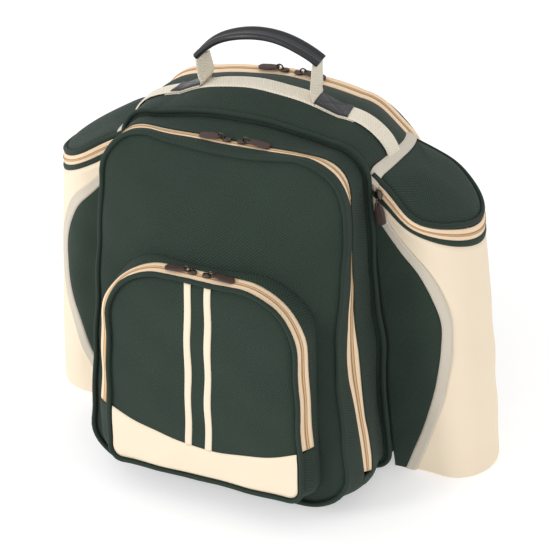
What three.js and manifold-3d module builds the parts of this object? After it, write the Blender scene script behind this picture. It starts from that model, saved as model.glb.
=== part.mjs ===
// A picnic cooler backpack, standing on its base.
// Millimetres. X runs across the bag, +Y points at the wearer's back, +Z is up.
// The origin is under the middle of the whole bag, on the surface that it stands on.

import * as THREE from 'three';
import { mergeVertices } from 'three/addons/utils/BufferGeometryUtils.js';
import Module from 'manifold-3d';

const wasm = await Module();
wasm.setup();

// Cloth, trims and the clearance between sewn pieces
const clothWall = 2.4;
const coolerWall = 4;
const seamGap = 0.3;
const pipingRadius = 2.6;
const edgeBevel = 3;
const tapeThickness = 1.2;
const coilRise = 0.9;

// Cooler body
const bodyHeight = 400;
const bodyLift = 3.4;
const bodyHalfWidth = 166;
const bodyDepth = 122;
const bodyFrontLean = 0.044;
const bodyRearLean = 0.01;
const bodyZipWidth = 17;
const bodyZipEnd = 120;
const backPanelDepth = 11;
const backDrawnIn = 6;

// Plate pocket, the large one on the front of the body
const plateDepthBelow = 108;
const plateLean = 0.19;
const plateHeight = 403;
const plateHalfWidth = 151;
const plateLift = 20;
const plateDome = 15;
const plateZipCentre = 0.36;
const plateZipWidth = 13;
const plateZipEnd = 64;

// Front pocket, the small one with the stripes
const pocketDepthBelow = 23;
const pocketLean = 0.085;
const pocketHeight = 283;
const pocketLift = 40;
const pocketHalfWidth = 116;
const pocketFlare = 13;
const pocketZipStart = 4.5;
const pocketZipWidth = 14;
const pocketZipEnd = 101;
const yokeHeight = 82;
const yokeEdgeRise = 25;
const stripeWidth = 7.5;
const stripeSpacing = 23;
const stripeShift = -2;

// Bottle pockets on the two sides
const bottleReachTop = 97;
const bottleReachBelow = 104;
const bottleHalfDepthTop = 54;
const bottleHalfDepthBelow = 48;
const bottleSetBack = 59;
const bottleLean = 0.045;
const bottleSeam = 0.9;
const bottleFloor = 0.5;
const leafStand = 1.1;
const lidHingeHeight = 366;
const lidSlope = 0.6;
const lidThickness = 4;
const lidCrown = 5;
const lidZipWidth = 13;
const lidBandWidth = 8;
const bindingWidth = 7;
const bindingRise = 3;
const bindingShort = 10;
const leafReach = 65;
const leafTrimWidth = 13;

// Carrying handle and the webbing that it is sewn to
const handleSetBack = 68;
const handleHalfSpan = 64;
const handleSplay = 4;
const webbingWidth = 26;
const webbingThickness = 1.8;
const webbingLift = 0.7;
const leftLegHeight = 29;
const rightLegHeight = 41;
const gripRise = 27;
const gripWidth = 22;
const gripBead = 3.6;
const gripWeb = 3;
const gripSettle = 0.9;
const patchLength = 37;
const patchThickness = 1.5;
const strapOverrun = 8;
const webbingFoot = 0.93;
const legNarrowing = 0.2;
const layerGap = 0.6;

// Zip pulls
const sliderLength = 9;
const sliderWidth = 7;
const sliderHeight = 3.4;
const pullSpacing = 16;
const pocketPullMiddle = -8;
const platePullMiddle = 6;
const bodyPullMiddle = 7;
const ringRadius = 3.6;
const ringWire = 0.8;
const tabLength = 25;
const tabWidth = 9.5;
const tabThickness = 1.8;
const tabHole = 1.6;
const sidePullStand = 0.4;

// Shoulder straps
const strapWidth = 56;
const strapThickness = 11;
const strapReach = 46;
const strapTopSpread = 56;
const strapFootSpread = 100;
const strapTopHeight = 346;
const strapFootHeight = 122;
const tailWidth = 25;
const tailThickness = 2.4;
const tailFootHeight = 26;
const tailFootInset = 38;
const tailBow = 2;

const { lerp, degToRad, radToDeg, clamp } = THREE.MathUtils;
const vec = (x, y, z) => new THREE.Vector3(x, y, z);
const range = (count, make) => Array.from({ length: count }, (_, i) => make(i));
const spread = (count, make) => range(count, (i) => make(i / (count - 1)));

// Materials
const cloth = (color, roughness) => new THREE.MeshStandardMaterial({ color, roughness, metalness: 0 });
const greenCanvas = cloth('#2f4138', 0.85);
const creamCanvas = cloth('#f0dfc0', 0.8);
const creamTape = cloth('#d9cfbc', 0.85);
const creamWebbing = cloth('#e2dac6', 0.9);
const zipTape = cloth('#e3bf97', 0.8);
const blackLeather = cloth('#24262a', 0.45);
const brownLeather = cloth('#3a2d26', 0.55);
const bronze = new THREE.MeshStandardMaterial({ color: '#5b5148', roughness: 0.4, metalness: 0.9 });

// A geometry whose faces point out, whichever way round its rings were given
function closedGeometry(points, faces) {
  let volume = 0;
  for (let i = 0; i < faces.length; i += 3) {
    const [a, b, c] = [points[faces[i]], points[faces[i + 1]], points[faces[i + 2]]];
    volume += a.dot(b.clone().cross(c));
  }
  if (volume < 0) {
    for (let i = 0; i < faces.length; i += 3) {
      [faces[i + 1], faces[i + 2]] = [faces[i + 2], faces[i + 1]];
    }
  }
  const geometry = new THREE.BufferGeometry();
  geometry.setAttribute('position', new THREE.Float32BufferAttribute(points.flatMap((p) => p.toArray()), 3));
  geometry.setIndex(faces);
  return geometry;
}

// A solid from rings of points. Each ring joins the next, and the two end rings are closed over
// with a fan, unless the rings go round in a loop.
function loft(rings, loop = false) {
  const size = rings[0].length;
  const points = rings.flat();
  const faces = [];
  const last = loop ? rings.length : rings.length - 1;
  for (let i = 0; i < last; i++) {
    const a = i * size;
    const b = ((i + 1) % rings.length) * size;
    for (let j = 0; j < size; j++) {
      const k = (j + 1) % size;
      faces.push(a + j, b + j, b + k, a + j, b + k, a + k);
    }
  }
  if (!loop) {
    for (const [start, flip] of [[0, false], [(rings.length - 1) * size, true]]) {
      const middle = points.length;
      const sum = points.slice(start, start + size).reduce((total, p) => total.add(p), vec(0, 0, 0));
      points.push(sum.divideScalar(size));
      for (let j = 0; j < size; j++) {
        const k = (j + 1) % size;
        faces.push(middle, start + (flip ? k : j), start + (flip ? j : k));
      }
    }
  }
  return closedGeometry(points, faces);
}

// A three.js geometry as a manifold solid, and back
function solid(geometry) {
  const bare = geometry.clone();
  bare.deleteAttribute('normal');
  bare.deleteAttribute('uv');
  const merged = mergeVertices(bare);
  return new wasm.Manifold(new wasm.Mesh({
    numProp: 3,
    vertProperties: new Float32Array(merged.attributes.position.array),
    triVerts: new Uint32Array(merged.index.array),
  }));
}

function fromSolid(manifold) {
  const mesh = manifold.getMesh();
  const geometry = new THREE.BufferGeometry();
  geometry.setAttribute('position', new THREE.BufferAttribute(new Float32Array(mesh.vertProperties), 3));
  geometry.setIndex(new THREE.BufferAttribute(new Uint32Array(mesh.triVerts), 1));
  return geometry;
}

// A round tube along points. outward gives the direction that its section starts from.
function tube(path, radius, outward, loop = true, sides = 6) {
  const last = path.length - 1;
  const rings = path.map((p, i) => {
    const next = path[loop ? (i + 1) % path.length : Math.min(i + 1, last)];
    const before = path[loop ? (i + last) % path.length : Math.max(i - 1, 0)];
    const along = next.clone().sub(before).normalize();
    const side = along.clone().cross(outward).normalize();
    const up = side.clone().cross(along);
    return range(sides, (k) => {
      const angle = 2 * Math.PI * (k + 0.5) / sides;
      const across = side.clone().multiplyScalar(radius * Math.cos(angle));
      return p.clone().add(across).addScaledVector(up, radius * Math.sin(angle));
    });
  });
  return loft(rings, loop);
}

// The outline of a panel, seen from the front: straight foot, sides that lean in by taper for
// each millimetre of height, and rounded corners. It runs from the middle of the foot up the right
// side, over the top and down the left side. The stops are heights that each outline has a point at.
const footSteps = 2;
const footCorner = 4;
const topCorner = 7;
const topSteps = 2;

const topCentre = (s) => s.half - s.taper * (s.top - s.topRadius) - s.topRadius;
const crownAt = (s, x) => s.crown * (1 - (x / topCentre(s)) ** 2);

function outline(s) {
  const halfAt = (z) => s.half - s.taper * z;
  const footX = halfAt(s.bottom + s.bottomRadius) - s.bottomRadius;
  const topX = topCentre(s);
  const corner = (x, z, radius, from, steps) => spread(steps, (t) => {
    const angle = degToRad(from + 90 * t);
    return [x + radius * Math.cos(angle), z + radius * Math.sin(angle)];
  });
  const right = [
    ...range(footSteps, (i) => [footX * i / footSteps, s.bottom]),
    ...corner(footX, s.bottom + s.bottomRadius, s.bottomRadius, -90, footCorner),
    ...s.stops.map((z) => [halfAt(z), z]),
    ...corner(topX, s.top - s.topRadius, s.topRadius, 0, topCorner),
    ...range(topSteps, (i) => {
      const x = topX * (1 - (i + 1) / topSteps);
      return [x, s.top + crownAt(s, x)];
    }),
  ];
  const left = right.slice(1, -1).reverse().map(([x, z]) => [-x, z]);
  return [...right, ...left];
}

// The outline as points in space. A row with a dome follows the plate pocket's rounded face.
const ring = (s) => outline(s).map(([x, z]) => (
  vec(x, s.y + s.lean * z - (s.dome ? s.dome * plateBulge(x, z) : 0), z)
));

function plateBulge(x, z) {
  const across = clamp(Math.abs(x) / plateHalfWidth, 0, 1);
  const along = clamp(Math.abs(2 * (z - plateLift) / (plateHeight - plateLift) - 1), 0, 1);
  return plateDome * (1 - across ** 2.5) * (1 - along ** 2.5);
}

const shift = (s, by) => ({ ...s, y: s.y + by });
const shrink = (s, by) => ({
  ...s,
  half: s.half - by,
  top: s.top - by,
  bottom: s.bottom + by,
  topRadius: s.topRadius - by,
  bottomRadius: s.bottomRadius - by,
});
const mix = (a, b, t) => Object.fromEntries(
  Object.keys(a).map((key) => [key, key === 'stops' ? a.stops : lerp(a[key], b[key], t)]),
);

// The point of each station of a wall between two outlines. shareAt gives the share of the way
// from the first to the second at a height, and inset is how far inside the wall's skin it is.
function wallRing(front, rear, shareAt, inset) {
  return outline(front).map(([, z], i) => ring(shrink(mix(front, rear, shareAt(z)), inset))[i]);
}

// A ring on a rounded face, drawn in from its edge by a share of the way to its middle
function domeRing(face, share) {
  const middle = (face.bottom + face.top) / 2;
  return outline(shrink(face, edgeBevel)).map(([edgeX, edgeZ]) => {
    const x = lerp(edgeX, 0, share);
    const z = lerp(edgeZ, middle, share);
    return vec(x, face.y + face.lean * z - plateBulge(x, z), z);
  });
}

// A pouch of cloth that is open behind: a flat face, and a wall round it as far as shareAt
function frontPouch(face, rear, shareAt, wall, domeShares) {
  const domed = domeShares.map((share) => domeRing(face, share));
  return loft([
    ...domed,
    ring(shrink(face, edgeBevel)),
    ring(shift(face, edgeBevel)),
    wallRing(face, rear, shareAt, 0),
    wallRing(face, rear, shareAt, wall),
    ring(shift(shrink(face, wall), edgeBevel)),
    ring(shift(shrink(face, edgeBevel + wall), wall)),
    ...domed.reverse().map((points) => points.map((p) => p.clone().add(vec(0, wall, 0)))),
  ]);
}

// Sections of a band of cloth, as shares of its width with the height above its skin
const flatSection = [[0, 0], [1, 0], [1, -tapeThickness], [0, -tapeThickness]];
const zipSection = [
  [0, 0], [0.38, 0], [0.44, coilRise], [0.56, coilRise],
  [0.62, 0], [1, 0], [1, -tapeThickness], [0, -tapeThickness],
];

// A zip in the wall between two outlines, from its end on one side over the top to the other
function wallZip(front, rear, spanAt, endHeight) {
  const stations = outline(front).map(([, z], i) => ({ z, i })).filter(({ z }) => z >= endHeight);
  return loft(stations.map(({ z, i }) => {
    const [from, to] = spanAt(z);
    return zipSection.map(([share, raise]) => {
      const row = mix(front, rear, lerp(from, to, share));
      return ring(shrink(row, -raise))[i];
    });
  }));
}

// The rest of such a wall, from its zip to the second outline, and all of it below the zip's end
function wallGusset(front, rear, fromAt, wall) {
  const stations = outline(front);
  return loft(stations.map(([, z], i) => {
    const corners = [[fromAt(z), 0], [1, 0], [1, wall], [fromAt(z), wall]];
    return corners.map(([share, inset]) => ring(shrink(mix(front, rear, share), inset))[i]);
  }), true);
}

// Piping on the bevelled edge of a face. inwards is +1 where the face looks along -Y.
const pipingStand = (pipingRadius + seamGap) * Math.SQRT1_2 - edgeBevel / 2;

function edgePiping(face, inwards = 1) {
  const seat = shift(shrink(face, -pipingStand), -inwards * pipingStand);
  return tube(ring(seat), pipingRadius, vec(0, 1, -face.lean).normalize());
}

const bag = new THREE.Group();

function place(name, geometry, material) {
  const mesh = new THREE.Mesh(geometry, material);
  mesh.name = name;
  bag.add(mesh);
  return mesh;
}

// Outlines of the body at three shares of its depth. Lengths are shares of its height.
const depthShares = [0.25, 0.5, 0.75, 1];
const bodyTable = [
  { taper: 0.071, top: 1, crown: 0.029, topRadius: 0.1, bottomRadius: 0.055, depth: 0 },
  { taper: 0.05, top: 1.02, crown: 0.036, topRadius: 0.15, bottomRadius: 0.07, depth: 0.5 },
  { taper: 0.032, top: 0.983, crown: 0.015, topRadius: 0.168, bottomRadius: 0.055, depth: 1 },
];
const bodyStops = [bodyZipEnd - seamGap, bodyZipEnd, 0.6 * bodyHeight];
const [bodyFront, bodyMiddle, bodyRear] = bodyTable.map((row) => ({
  half: bodyHalfWidth,
  taper: row.taper,
  bottom: bodyLift,
  top: row.top * bodyHeight,
  crown: row.crown * bodyHeight,
  topRadius: row.topRadius * bodyHeight,
  bottomRadius: row.bottomRadius * bodyHeight,
  y: row.depth * bodyDepth,
  lean: lerp(bodyFrontLean, bodyRearLean, row.depth),
  stops: bodyStops,
}));

// The body's outline at a share of its depth, on a smooth curve through the three. The base is flat
// between its two piped edges, which are lifted so that the piping clears the ground.
function bodyAt(t) {
  const bend = [(1 - t) * (1 - 2 * t), 4 * t * (1 - t), t * (2 * t - 1)];
  const smooth = (key) => bend[0] * bodyFront[key] + bend[1] * bodyMiddle[key] + bend[2] * bodyRear[key];
  const outlineHere = Object.fromEntries(Object.keys(bodyFront).filter((key) => key !== 'stops').map(
    (key) => [key, smooth(key)],
  ));
  const fromEdge = Math.min(t, 1 - t, depthShares[0]) / depthShares[0];
  return { ...outlineHere, bottom: bodyLift * (1 - fromEdge), stops: bodyStops };
}

// The body's outline through a place
function bodyThrough(y, z) {
  const near = bodyFront.y + bodyFront.lean * z;
  const far = bodyRear.y + bodyRear.lean * z;
  return bodyAt(clamp((y - near) / (far - near), 0, 1));
}

// Half the body's width at a place
function bodySkin(y, z) {
  const s = bodyThrough(y, z);
  const above = Math.max(z - (s.top - s.topRadius), 0);
  const straight = s.half - s.taper * Math.min(z, s.top - s.topRadius);
  return straight - s.topRadius + Math.sqrt(Math.max(s.topRadius ** 2 - above ** 2, 0));
}

const backSeam = shift(bodyRear, bodyZipWidth);
const backFace = shift(shrink(bodyRear, backDrawnIn), bodyZipWidth + backPanelDepth);

function makeBody() {
  const outer = depthShares.map((t) => ring(bodyAt(t)));
  const inner = depthShares.map((t) => ring(shrink(bodyAt(t), coolerWall))).reverse();
  place('cooler_body', loft([
    ring(shrink(bodyFront, edgeBevel)),
    ring(shift(bodyFront, edgeBevel)),
    ...outer,
    ...inner,
    ring(shift(shrink(bodyFront, coolerWall), coolerWall)),
  ]), greenCanvas);

  const rim = shift(bodyRear, seamGap);
  const seam = shift(backSeam, -seamGap);
  const zipStations = outline(rim).map(([, z], i) => ({ z, i })).filter(({ z }) => z >= bodyZipEnd);
  place('body_zip', loft(zipStations.map(({ i }) => (
    zipSection.map(([share, raise]) => ring(shrink(mix(rim, seam, share), -raise))[i])
  ))), zipTape);
  const lowStations = outline(rim).map(([x, z], i) => ({ x, z, i })).filter(({ z }) => z < bodyZipEnd);
  const lowOrder = [
    ...lowStations.filter(({ x }) => x < 0),
    ...lowStations.filter(({ x }) => x >= 0),
  ];
  place('body_rear_gusset', loft(lowOrder.map(({ i }) => (
    [[0, 0], [1, 0], [1, clothWall], [0, clothWall]].map(
      ([share, inset]) => ring(shrink(mix(rim, seam, share), inset))[i],
    )
  ))), greenCanvas);
  place('back_panel', loft([
    ring(backSeam),
    ring(shift(backFace, -edgeBevel)),
    ring(shrink(backFace, edgeBevel)),
  ]), greenCanvas);
  place('body_piping', edgePiping(bodyFront), greenCanvas);
  place('back_piping', edgePiping(backFace, -1), greenCanvas);
}

makeBody();

// Plate pocket. Its rear edge stands on the body's front, inside the body's piping.
const plateStops = [plateZipEnd - seamGap, plateZipEnd, 0.35 * plateHeight, 0.6 * plateHeight];
const plateFace = {
  half: plateHalfWidth,
  taper: 0.038,
  bottom: plateLift,
  top: plateHeight,
  crown: -0.018 * plateHeight,
  topRadius: 0.14 * plateHeight,
  bottomRadius: 0.1 * plateHeight,
  y: -plateDepthBelow,
  lean: plateLean,
  stops: plateStops,
};
const plateSeat = {
  ...shift(shrink(bodyFront, edgeBevel + pipingRadius + seamGap), -seamGap),
  stops: plateStops,
};
const plateDepthAt = (z) => plateDepthBelow - (plateLean - bodyFrontLean) * z;
const plateZipSpan = (z) => [-1, 1].map(
  (side) => plateZipCentre + side * plateZipWidth / 2 / plateDepthAt(z),
);

// Front pocket. Its rear edge stands on the plate pocket's face.
const pocketStops = [pocketZipEnd - seamGap, pocketZipEnd, 0.55 * pocketHeight];
const pocketFace = {
  half: pocketHalfWidth,
  taper: 0.041,
  bottom: pocketLift,
  top: pocketHeight,
  crown: 0,
  topRadius: 0.227 * pocketHeight,
  bottomRadius: 0.055 * pocketHeight,
  y: -plateDepthBelow - pocketDepthBelow,
  lean: pocketLean,
  dome: 0,
  stops: pocketStops,
};
const pocketSeat = {
  ...pocketFace,
  half: pocketHalfWidth + pocketFlare,
  top: pocketHeight + pocketFlare / 2,
  topRadius: 0.25 * pocketHeight,
  y: -plateDepthBelow - seamGap,
  lean: plateLean,
  dome: 1,
};
const pocketDepthAt = (z) => (
  pocketDepthBelow + (plateLean - pocketLean) * z - plateBulge(pocketHalfWidth / 2, z)
);
const pocketZipSpan = (z) => [0, 1].map(
  (side) => (pocketZipStart + side * pocketZipWidth) / pocketDepthAt(z),
);

// A pocket with its zip, gusset and piping
function makePocket(name, face, seat, spanAt, depthAt, zipEnd, domeShares = []) {
  const gapAt = (z) => seamGap / depthAt(z);
  const frontEdge = (z) => spanAt(z)[0] - gapAt(z);
  const rearEdge = (z) => (z < zipEnd ? spanAt(z)[0] : spanAt(z)[1] + gapAt(z));
  place(`${name}_panel`, frontPouch(face, seat, frontEdge, clothWall, domeShares), greenCanvas);
  place(`${name}_zip`, wallZip(face, seat, spanAt, zipEnd), zipTape);
  place(`${name}_gusset`, wallGusset(face, seat, rearEdge, clothWall), greenCanvas);
  place(`${name}_piping`, edgePiping(face), greenCanvas);
}

makePocket('plate_pocket', plateFace, plateSeat, plateZipSpan, plateDepthAt, plateZipEnd, [0.55, 0.2]);
makePocket('front_pocket', pocketFace, pocketSeat, pocketZipSpan, pocketDepthAt, pocketZipEnd);

// The cream yoke and stripes lie on the front pocket's face, inside its piping
const pocketField = shrink(pocketFace, edgeBevel + pipingRadius);
const onPocket = (x, z, lift) => vec(x, pocketFace.y + pocketFace.lean * z - lift, z);
const yokeTop = (x) => yokeHeight + yokeEdgeRise * (x / pocketHalfWidth) ** 2;

function makeTrims() {
  const trimTop = seamGap + tapeThickness;
  const upright = (x, low, high) => [
    onPocket(x, low, seamGap),
    onPocket(x, high, seamGap),
    onPocket(x, high, trimTop),
    onPocket(x, low, trimTop),
  ];
  const foot = pocketField.bottomRadius;
  const rimX = pocketField.half - pocketField.taper * yokeHeight;
  place('front_pocket_yoke', loft(spread(17, (t) => {
    const x = rimX * (2 * t - 1);
    const inCorner = Math.max(Math.abs(x) - (rimX - foot), 0);
    const low = pocketField.bottom + foot - Math.sqrt(Math.max(foot ** 2 - inCorner ** 2, 0));
    return upright(x, low, yokeTop(x));
  })), creamCanvas);
  for (const [name, side] of [['left', -1], ['right', 1]]) {
    const middle = stripeShift + side * stripeSpacing / 2;
    place(`${name}_stripe`, loft(spread(2, (t) => {
      const x = middle + stripeWidth * (t - 0.5);
      return upright(x, yokeTop(x) + seamGap, pocketField.top);
    })), creamCanvas);
  }
}

makeTrims();

// Bottle pockets. In plan each is a D against the body's side: two straight sides and a half circle.
// A level gives the height of a station for its distance across the bag.
const bottleMiddle = (z) => bottleSetBack + bottleLean * z;
const hingeX = bodySkin(bottleMiddle(lidHingeHeight), lidHingeHeight);
const lidLevel = (x) => lidHingeHeight - lidSlope * (x - hingeX);
const bandLevel = (x) => lidLevel(x) - lidZipWidth;
const pocketRim = (x) => bandLevel(x) - lidBandWidth;
const bottleTopHeight = lidLevel(hingeX + bottleReachTop);
const arcSteps = 8;

function bottlePlan(z) {
  const t = z / bottleTopHeight;
  const radius = lerp(bottleHalfDepthBelow, bottleHalfDepthTop, t);
  const reach = lerp(bodyHalfWidth + bottleReachBelow, hingeX + bottleReachTop, t);
  return { radius, centre: reach - radius };
}

// Stations of the D: along the body's side, out along the front, round the end and back. Each has
// a share of the way out from the body's side to the half circle, or an angle round that.
const bottleStations = [
  ...[1, 0.5, 0, -0.5, -1].map((across) => ({ out: 0, across })),
  { out: 0.5, across: -1 },
  ...spread(arcSteps + 1, (t) => ({ out: 1, angle: Math.PI * t })),
  { out: 0.5, across: 1 },
];

function bottleRing(inset, level, side) {
  return bottleStations.map(({ out, across, angle }) => {
    const point = vec(hingeX, 0, 0);
    for (let pass = 0; pass < 5; pass++) {
      point.z = level(point.x);
      const plan = bottlePlan(point.z);
      const radius = plan.radius - inset;
      point.y = bottleMiddle(point.z) + radius * (out < 1 ? across : -Math.cos(angle));
      const skin = bodySkin(point.y, point.z) + bottleSeam + Math.max(inset, 0);
      point.x = out < 1 ? lerp(skin, plan.centre, out) : plan.centre + radius * Math.sin(angle);
    }
    return vec(side * point.x, point.y, point.z);
  });
}

const raised = (level, by) => (x) => level(x) + by;
const wallShares = [0.3, 0.6, 0.85, 1];
const between = (share, from) => (x) => lerp(from, pocketRim(x), share);

// A band round the D, made of its sections station by station
function bottleBand(section, low, high, side, inset = 0) {
  const rings = section.map(([share, raise]) => bottleRing(
    inset - raise, (x) => lerp(low(x), high(x), share), side,
  ));
  return loft(rings[0].map((_, i) => rings.map((points) => points[i])), true);
}

// A place on the front of a bottle pocket: how far out from the body's side, how high, how proud
function bottleFront(out, z, lift, side) {
  const { radius, centre } = bottlePlan(z);
  const y = bottleMiddle(z) - radius;
  const skin = bodySkin(y, z) + bottleSeam;
  const straight = centre - skin;
  if (out <= straight) return vec(side * (skin + out), y - lift, z);
  const angle = (out - straight) / radius;
  const distance = radius + lift;
  return vec(side * (centre + distance * Math.sin(angle)), bottleMiddle(z) - distance * Math.cos(angle), z);
}

// Edge of the green leaf: shares of the pocket's front height and of the leaf's reach
const leafRows = [
  { up: 0.012, out: 0.24 },
  { up: 0.12, out: 0.46 },
  { up: 0.25, out: 0.68 },
  { up: 0.4, out: 0.9 },
  { up: 0.55, out: 1 },
  { up: 0.68, out: 0.95 },
  { up: 0.8, out: 0.75 },
  { up: 0.9, out: 0.44 },
  { up: 0.985, out: 0.1 },
];

function makeBottlePocket(name, side) {
  const outer = wallShares.map((share) => bottleRing(0, between(share, bottleFloor), side));
  const inner = wallShares.map((share) => bottleRing(clothWall, between(share, bottleFloor), side)).reverse();
  place(`${name}_pocket_body`, loft([
    bottleRing(edgeBevel, () => bottleFloor, side),
    bottleRing(0, () => bottleFloor + edgeBevel, side),
    ...outer,
    ...inner,
    bottleRing(clothWall + edgeBevel, () => bottleFloor + clothWall, side),
  ]), creamCanvas);
  place(`${name}_pocket_band`, bottleBand(
    flatSection, raised(pocketRim, seamGap), raised(bandLevel, -seamGap), side,
  ), greenCanvas);
  place(`${name}_pocket_zip`, bottleBand(zipSection, bandLevel, raised(lidLevel, -seamGap), side), zipTape);

  const lidInset = 2 * pipingRadius + seamGap;
  place(`${name}_pocket_lid`, loft([
    bottleRing(lidInset, lidLevel, side),
    bottleRing(lidInset, raised(lidLevel, lidThickness), side),
    bottleRing(lidInset + bindingWidth, raised(lidLevel, lidThickness + lidCrown / 2), side),
    bottleRing(lidInset + 4 * bindingWidth, raised(lidLevel, lidThickness + lidCrown), side),
  ]), greenCanvas);
  const edge = bottleRing(pipingRadius, raised(lidLevel, pipingRadius + seamGap), side).slice(5);
  place(`${name}_pocket_piping`, tube(edge, pipingRadius, vec(0, 0, 1), false), greenCanvas);

  // The binding goes over the hinge, from the body's side onto the lid
  const { radius } = bottlePlan(lidHingeHeight);
  place(`${name}_pocket_binding`, loft(spread(6, (t) => {
    const y = bottleMiddle(lidHingeHeight) - radius + (2 * radius - bindingShort) * t;
    const hinge = bodySkin(y, lidLevel(hingeX)) + bottleSeam;
    const hingeTop = lidLevel(hinge) + lidThickness + bottleSeam;
    const far = hinge + lidInset + bindingWidth;
    const farTop = lidLevel(far) + lidThickness + lidCrown / 2 + bottleSeam;
    const high = hingeTop + bindingRise;
    const highX = bodySkin(y, high) + bottleSeam;
    return [
      vec(side * highX, y, high),
      vec(side * hinge, y, hingeTop),
      vec(side * far, y, farTop),
      vec(side * far, y, farTop + tapeThickness),
      vec(side * (hinge + tapeThickness), y, hingeTop + tapeThickness),
      vec(side * (highX + tapeThickness), y, high),
    ];
  })), creamTape);

  const curve = new THREE.SplineCurve(leafRows.map(({ up, out }) => new THREE.Vector2(out, up)));
  const rows = spread(11, (t) => curve.getPoint(t));
  const frontHeight = pocketRim(hingeX);
  const overlay = (from, to) => loft(rows.map((row) => {
    const z = row.y * frontHeight;
    const start = from(row);
    const end = to(row);
    const strip = spread(4, (t) => lerp(start, end, t));
    return [
      ...strip.map((out) => bottleFront(out, z, leafStand, side)),
      ...strip.reverse().map((out) => bottleFront(out, z, leafStand + tapeThickness, side)),
    ];
  }));
  place(`${name}_pocket_leaf`, overlay(() => seamGap, ({ x }) => x * leafReach), greenCanvas);
  place(`${name}_pocket_trim`, overlay(
    ({ x }) => x * leafReach + seamGap,
    ({ x }) => x * leafReach + leafTrimWidth,
  ), creamTape);
}

makeBottlePocket('left', -1);
makeBottlePocket('right', 1);

// A place on top of the body: u runs from -1 to 1 across the top and down its round corners
const flatShare = 0.62;
const cornerFall = 62;

function onTop(u, y, lift) {
  let z = bodyHeight;
  let point = vec(0, 0, 0);
  for (let pass = 0; pass < 3; pass++) {
    const s = bodyThrough(y, z);
    const side = Math.sign(u) || 1;
    const topX = topCentre(s);
    if (Math.abs(u) <= flatShare) {
      const x = topX * Math.abs(u) / flatShare;
      point = vec(side * x, y, s.top + crownAt(s, x) + lift);
    } else {
      const angle = degToRad(90 - cornerFall * (Math.abs(u) - flatShare) / (1 - flatShare));
      const reach = s.topRadius + lift;
      point = vec(side * (topX + reach * Math.cos(angle)), y, s.top - s.topRadius + reach * Math.sin(angle));
    }
    z = point.z - lift;
  }
  return point;
}

// Which u is over a distance from the middle
function overX(x) {
  const s = bodyThrough(handleSetBack, bodyHeight);
  const flat = topCentre(s);
  if (x <= flat) return flatShare * x / flat;
  const angle = Math.asin(Math.min((x - flat) / s.topRadius, 1));
  return flatShare + (1 - flatShare) * radToDeg(angle) / cornerFall;
}

// A strip of webbing over the top of the body. All the layers share a grid, so that they nest.
const topGrid = 16;
const gridClear = 0.01;

function topStrip(from, to, lift, thickness, width) {
  const edges = [-width / 2, 0, width / 2];
  const [low, high] = [Math.min(from, to), Math.max(from, to)];
  const grid = range(2 * topGrid + 1, (i) => i / topGrid - 1).filter(
    (u) => u > low + gridClear && u < high - gridClear,
  );
  const stations = [low, ...grid, high];
  if (from > to) stations.reverse();
  return stations.map((u) => [
    ...edges.map((e) => onTop(u, handleSetBack + e, lift)),
    ...edges.slice().reverse().map((e) => onTop(u, handleSetBack + e, lift + thickness)),
  ]);
}

const secondLayer = webbingLift + webbingThickness + layerGap;
const patchLayer = secondLayer + webbingThickness + layerGap;
const patchStart = handleHalfSpan + webbingThickness;
const patchEnd = patchStart + patchLength;

function makeHandle() {
  const strapEnd = overX(patchEnd + strapOverrun);
  const strap = topStrip(-strapEnd, strapEnd, webbingLift, webbingThickness, webbingWidth);
  place('cross_strap', loft(strap), creamWebbing);
  const base = overX(handleHalfSpan);
  const baseHeight = onTop(base, handleSetBack, secondLayer).z;
  for (const [name, side, legHeight] of [['left', -1, leftLegHeight], ['right', 1, rightLegHeight]]) {
    const flat = topStrip(side * webbingFoot, side * base, secondLayer, webbingThickness, webbingWidth);
    const leg = spread(4, (t) => {
      const x = side * (handleHalfSpan - webbingThickness + handleSplay * t);
      const z = lerp(baseHeight + 2 * webbingThickness, baseHeight + legHeight, t);
      const half = (1 - legNarrowing * t) * webbingWidth / 2;
      const edges = [-half, 0, half].map((e) => handleSetBack + e);
      return [
        ...edges.map((y) => vec(x - side * webbingThickness, y, z)),
        ...edges.slice().reverse().map((y) => vec(x, y, z)),
      ];
    });
    place(`${name}_handle_webbing`, loft([...flat, ...leg]), creamWebbing);
    const [start, end] = [patchStart, patchEnd].map((x) => side * overX(x));
    const patch = topStrip(start, end, patchLayer, patchThickness, webbingWidth + 2);
    place(`${name}_patch`, loft(patch), blackLeather);
  }

  const endX = handleHalfSpan + handleSplay + webbingThickness;
  const radius = (endX ** 2 + gripRise ** 2) / (2 * gripRise);
  const sweep = Math.asin(endX / radius);
  const endZ = baseHeight + (leftLegHeight + rightLegHeight) / 2 + gripBead - gripSettle;
  const tilt = new THREE.Matrix4().makeRotationY(-Math.atan2(rightLegHeight - leftLegHeight, 2 * endX));
  const pivot = vec(0, handleSetBack, endZ);
  const bead = (y) => range(6, (k) => {
    const angle = 2 * Math.PI * (k + 0.5) / 6;
    return [y + gripBead * Math.cos(angle), gripBead * Math.sin(angle)];
  });
  const beadY = gripWidth / 2 - gripBead;
  const gripRing = (section) => spread(11, (t) => {
    const angle = sweep * (2 * t - 1);
    const out = vec(Math.sin(angle), 0, Math.cos(angle));
    return section.map(([y, h]) => (
      vec(0, y, gripRise - radius).addScaledVector(out, radius + h).applyMatrix4(tilt).add(pivot)
    ));
  });
  const webHalf = gripWeb / 2;
  const web = [[-beadY, -webHalf], [beadY, -webHalf], [beadY, webHalf], [-beadY, webHalf]];
  const [first, second, third] = [bead(-beadY), bead(beadY), web].map(
    (section) => solid(loft(gripRing(section))),
  );
  place('handle_grip', fromSolid(first.add(second).add(third)), blackLeather);
}

makeHandle();

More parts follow.
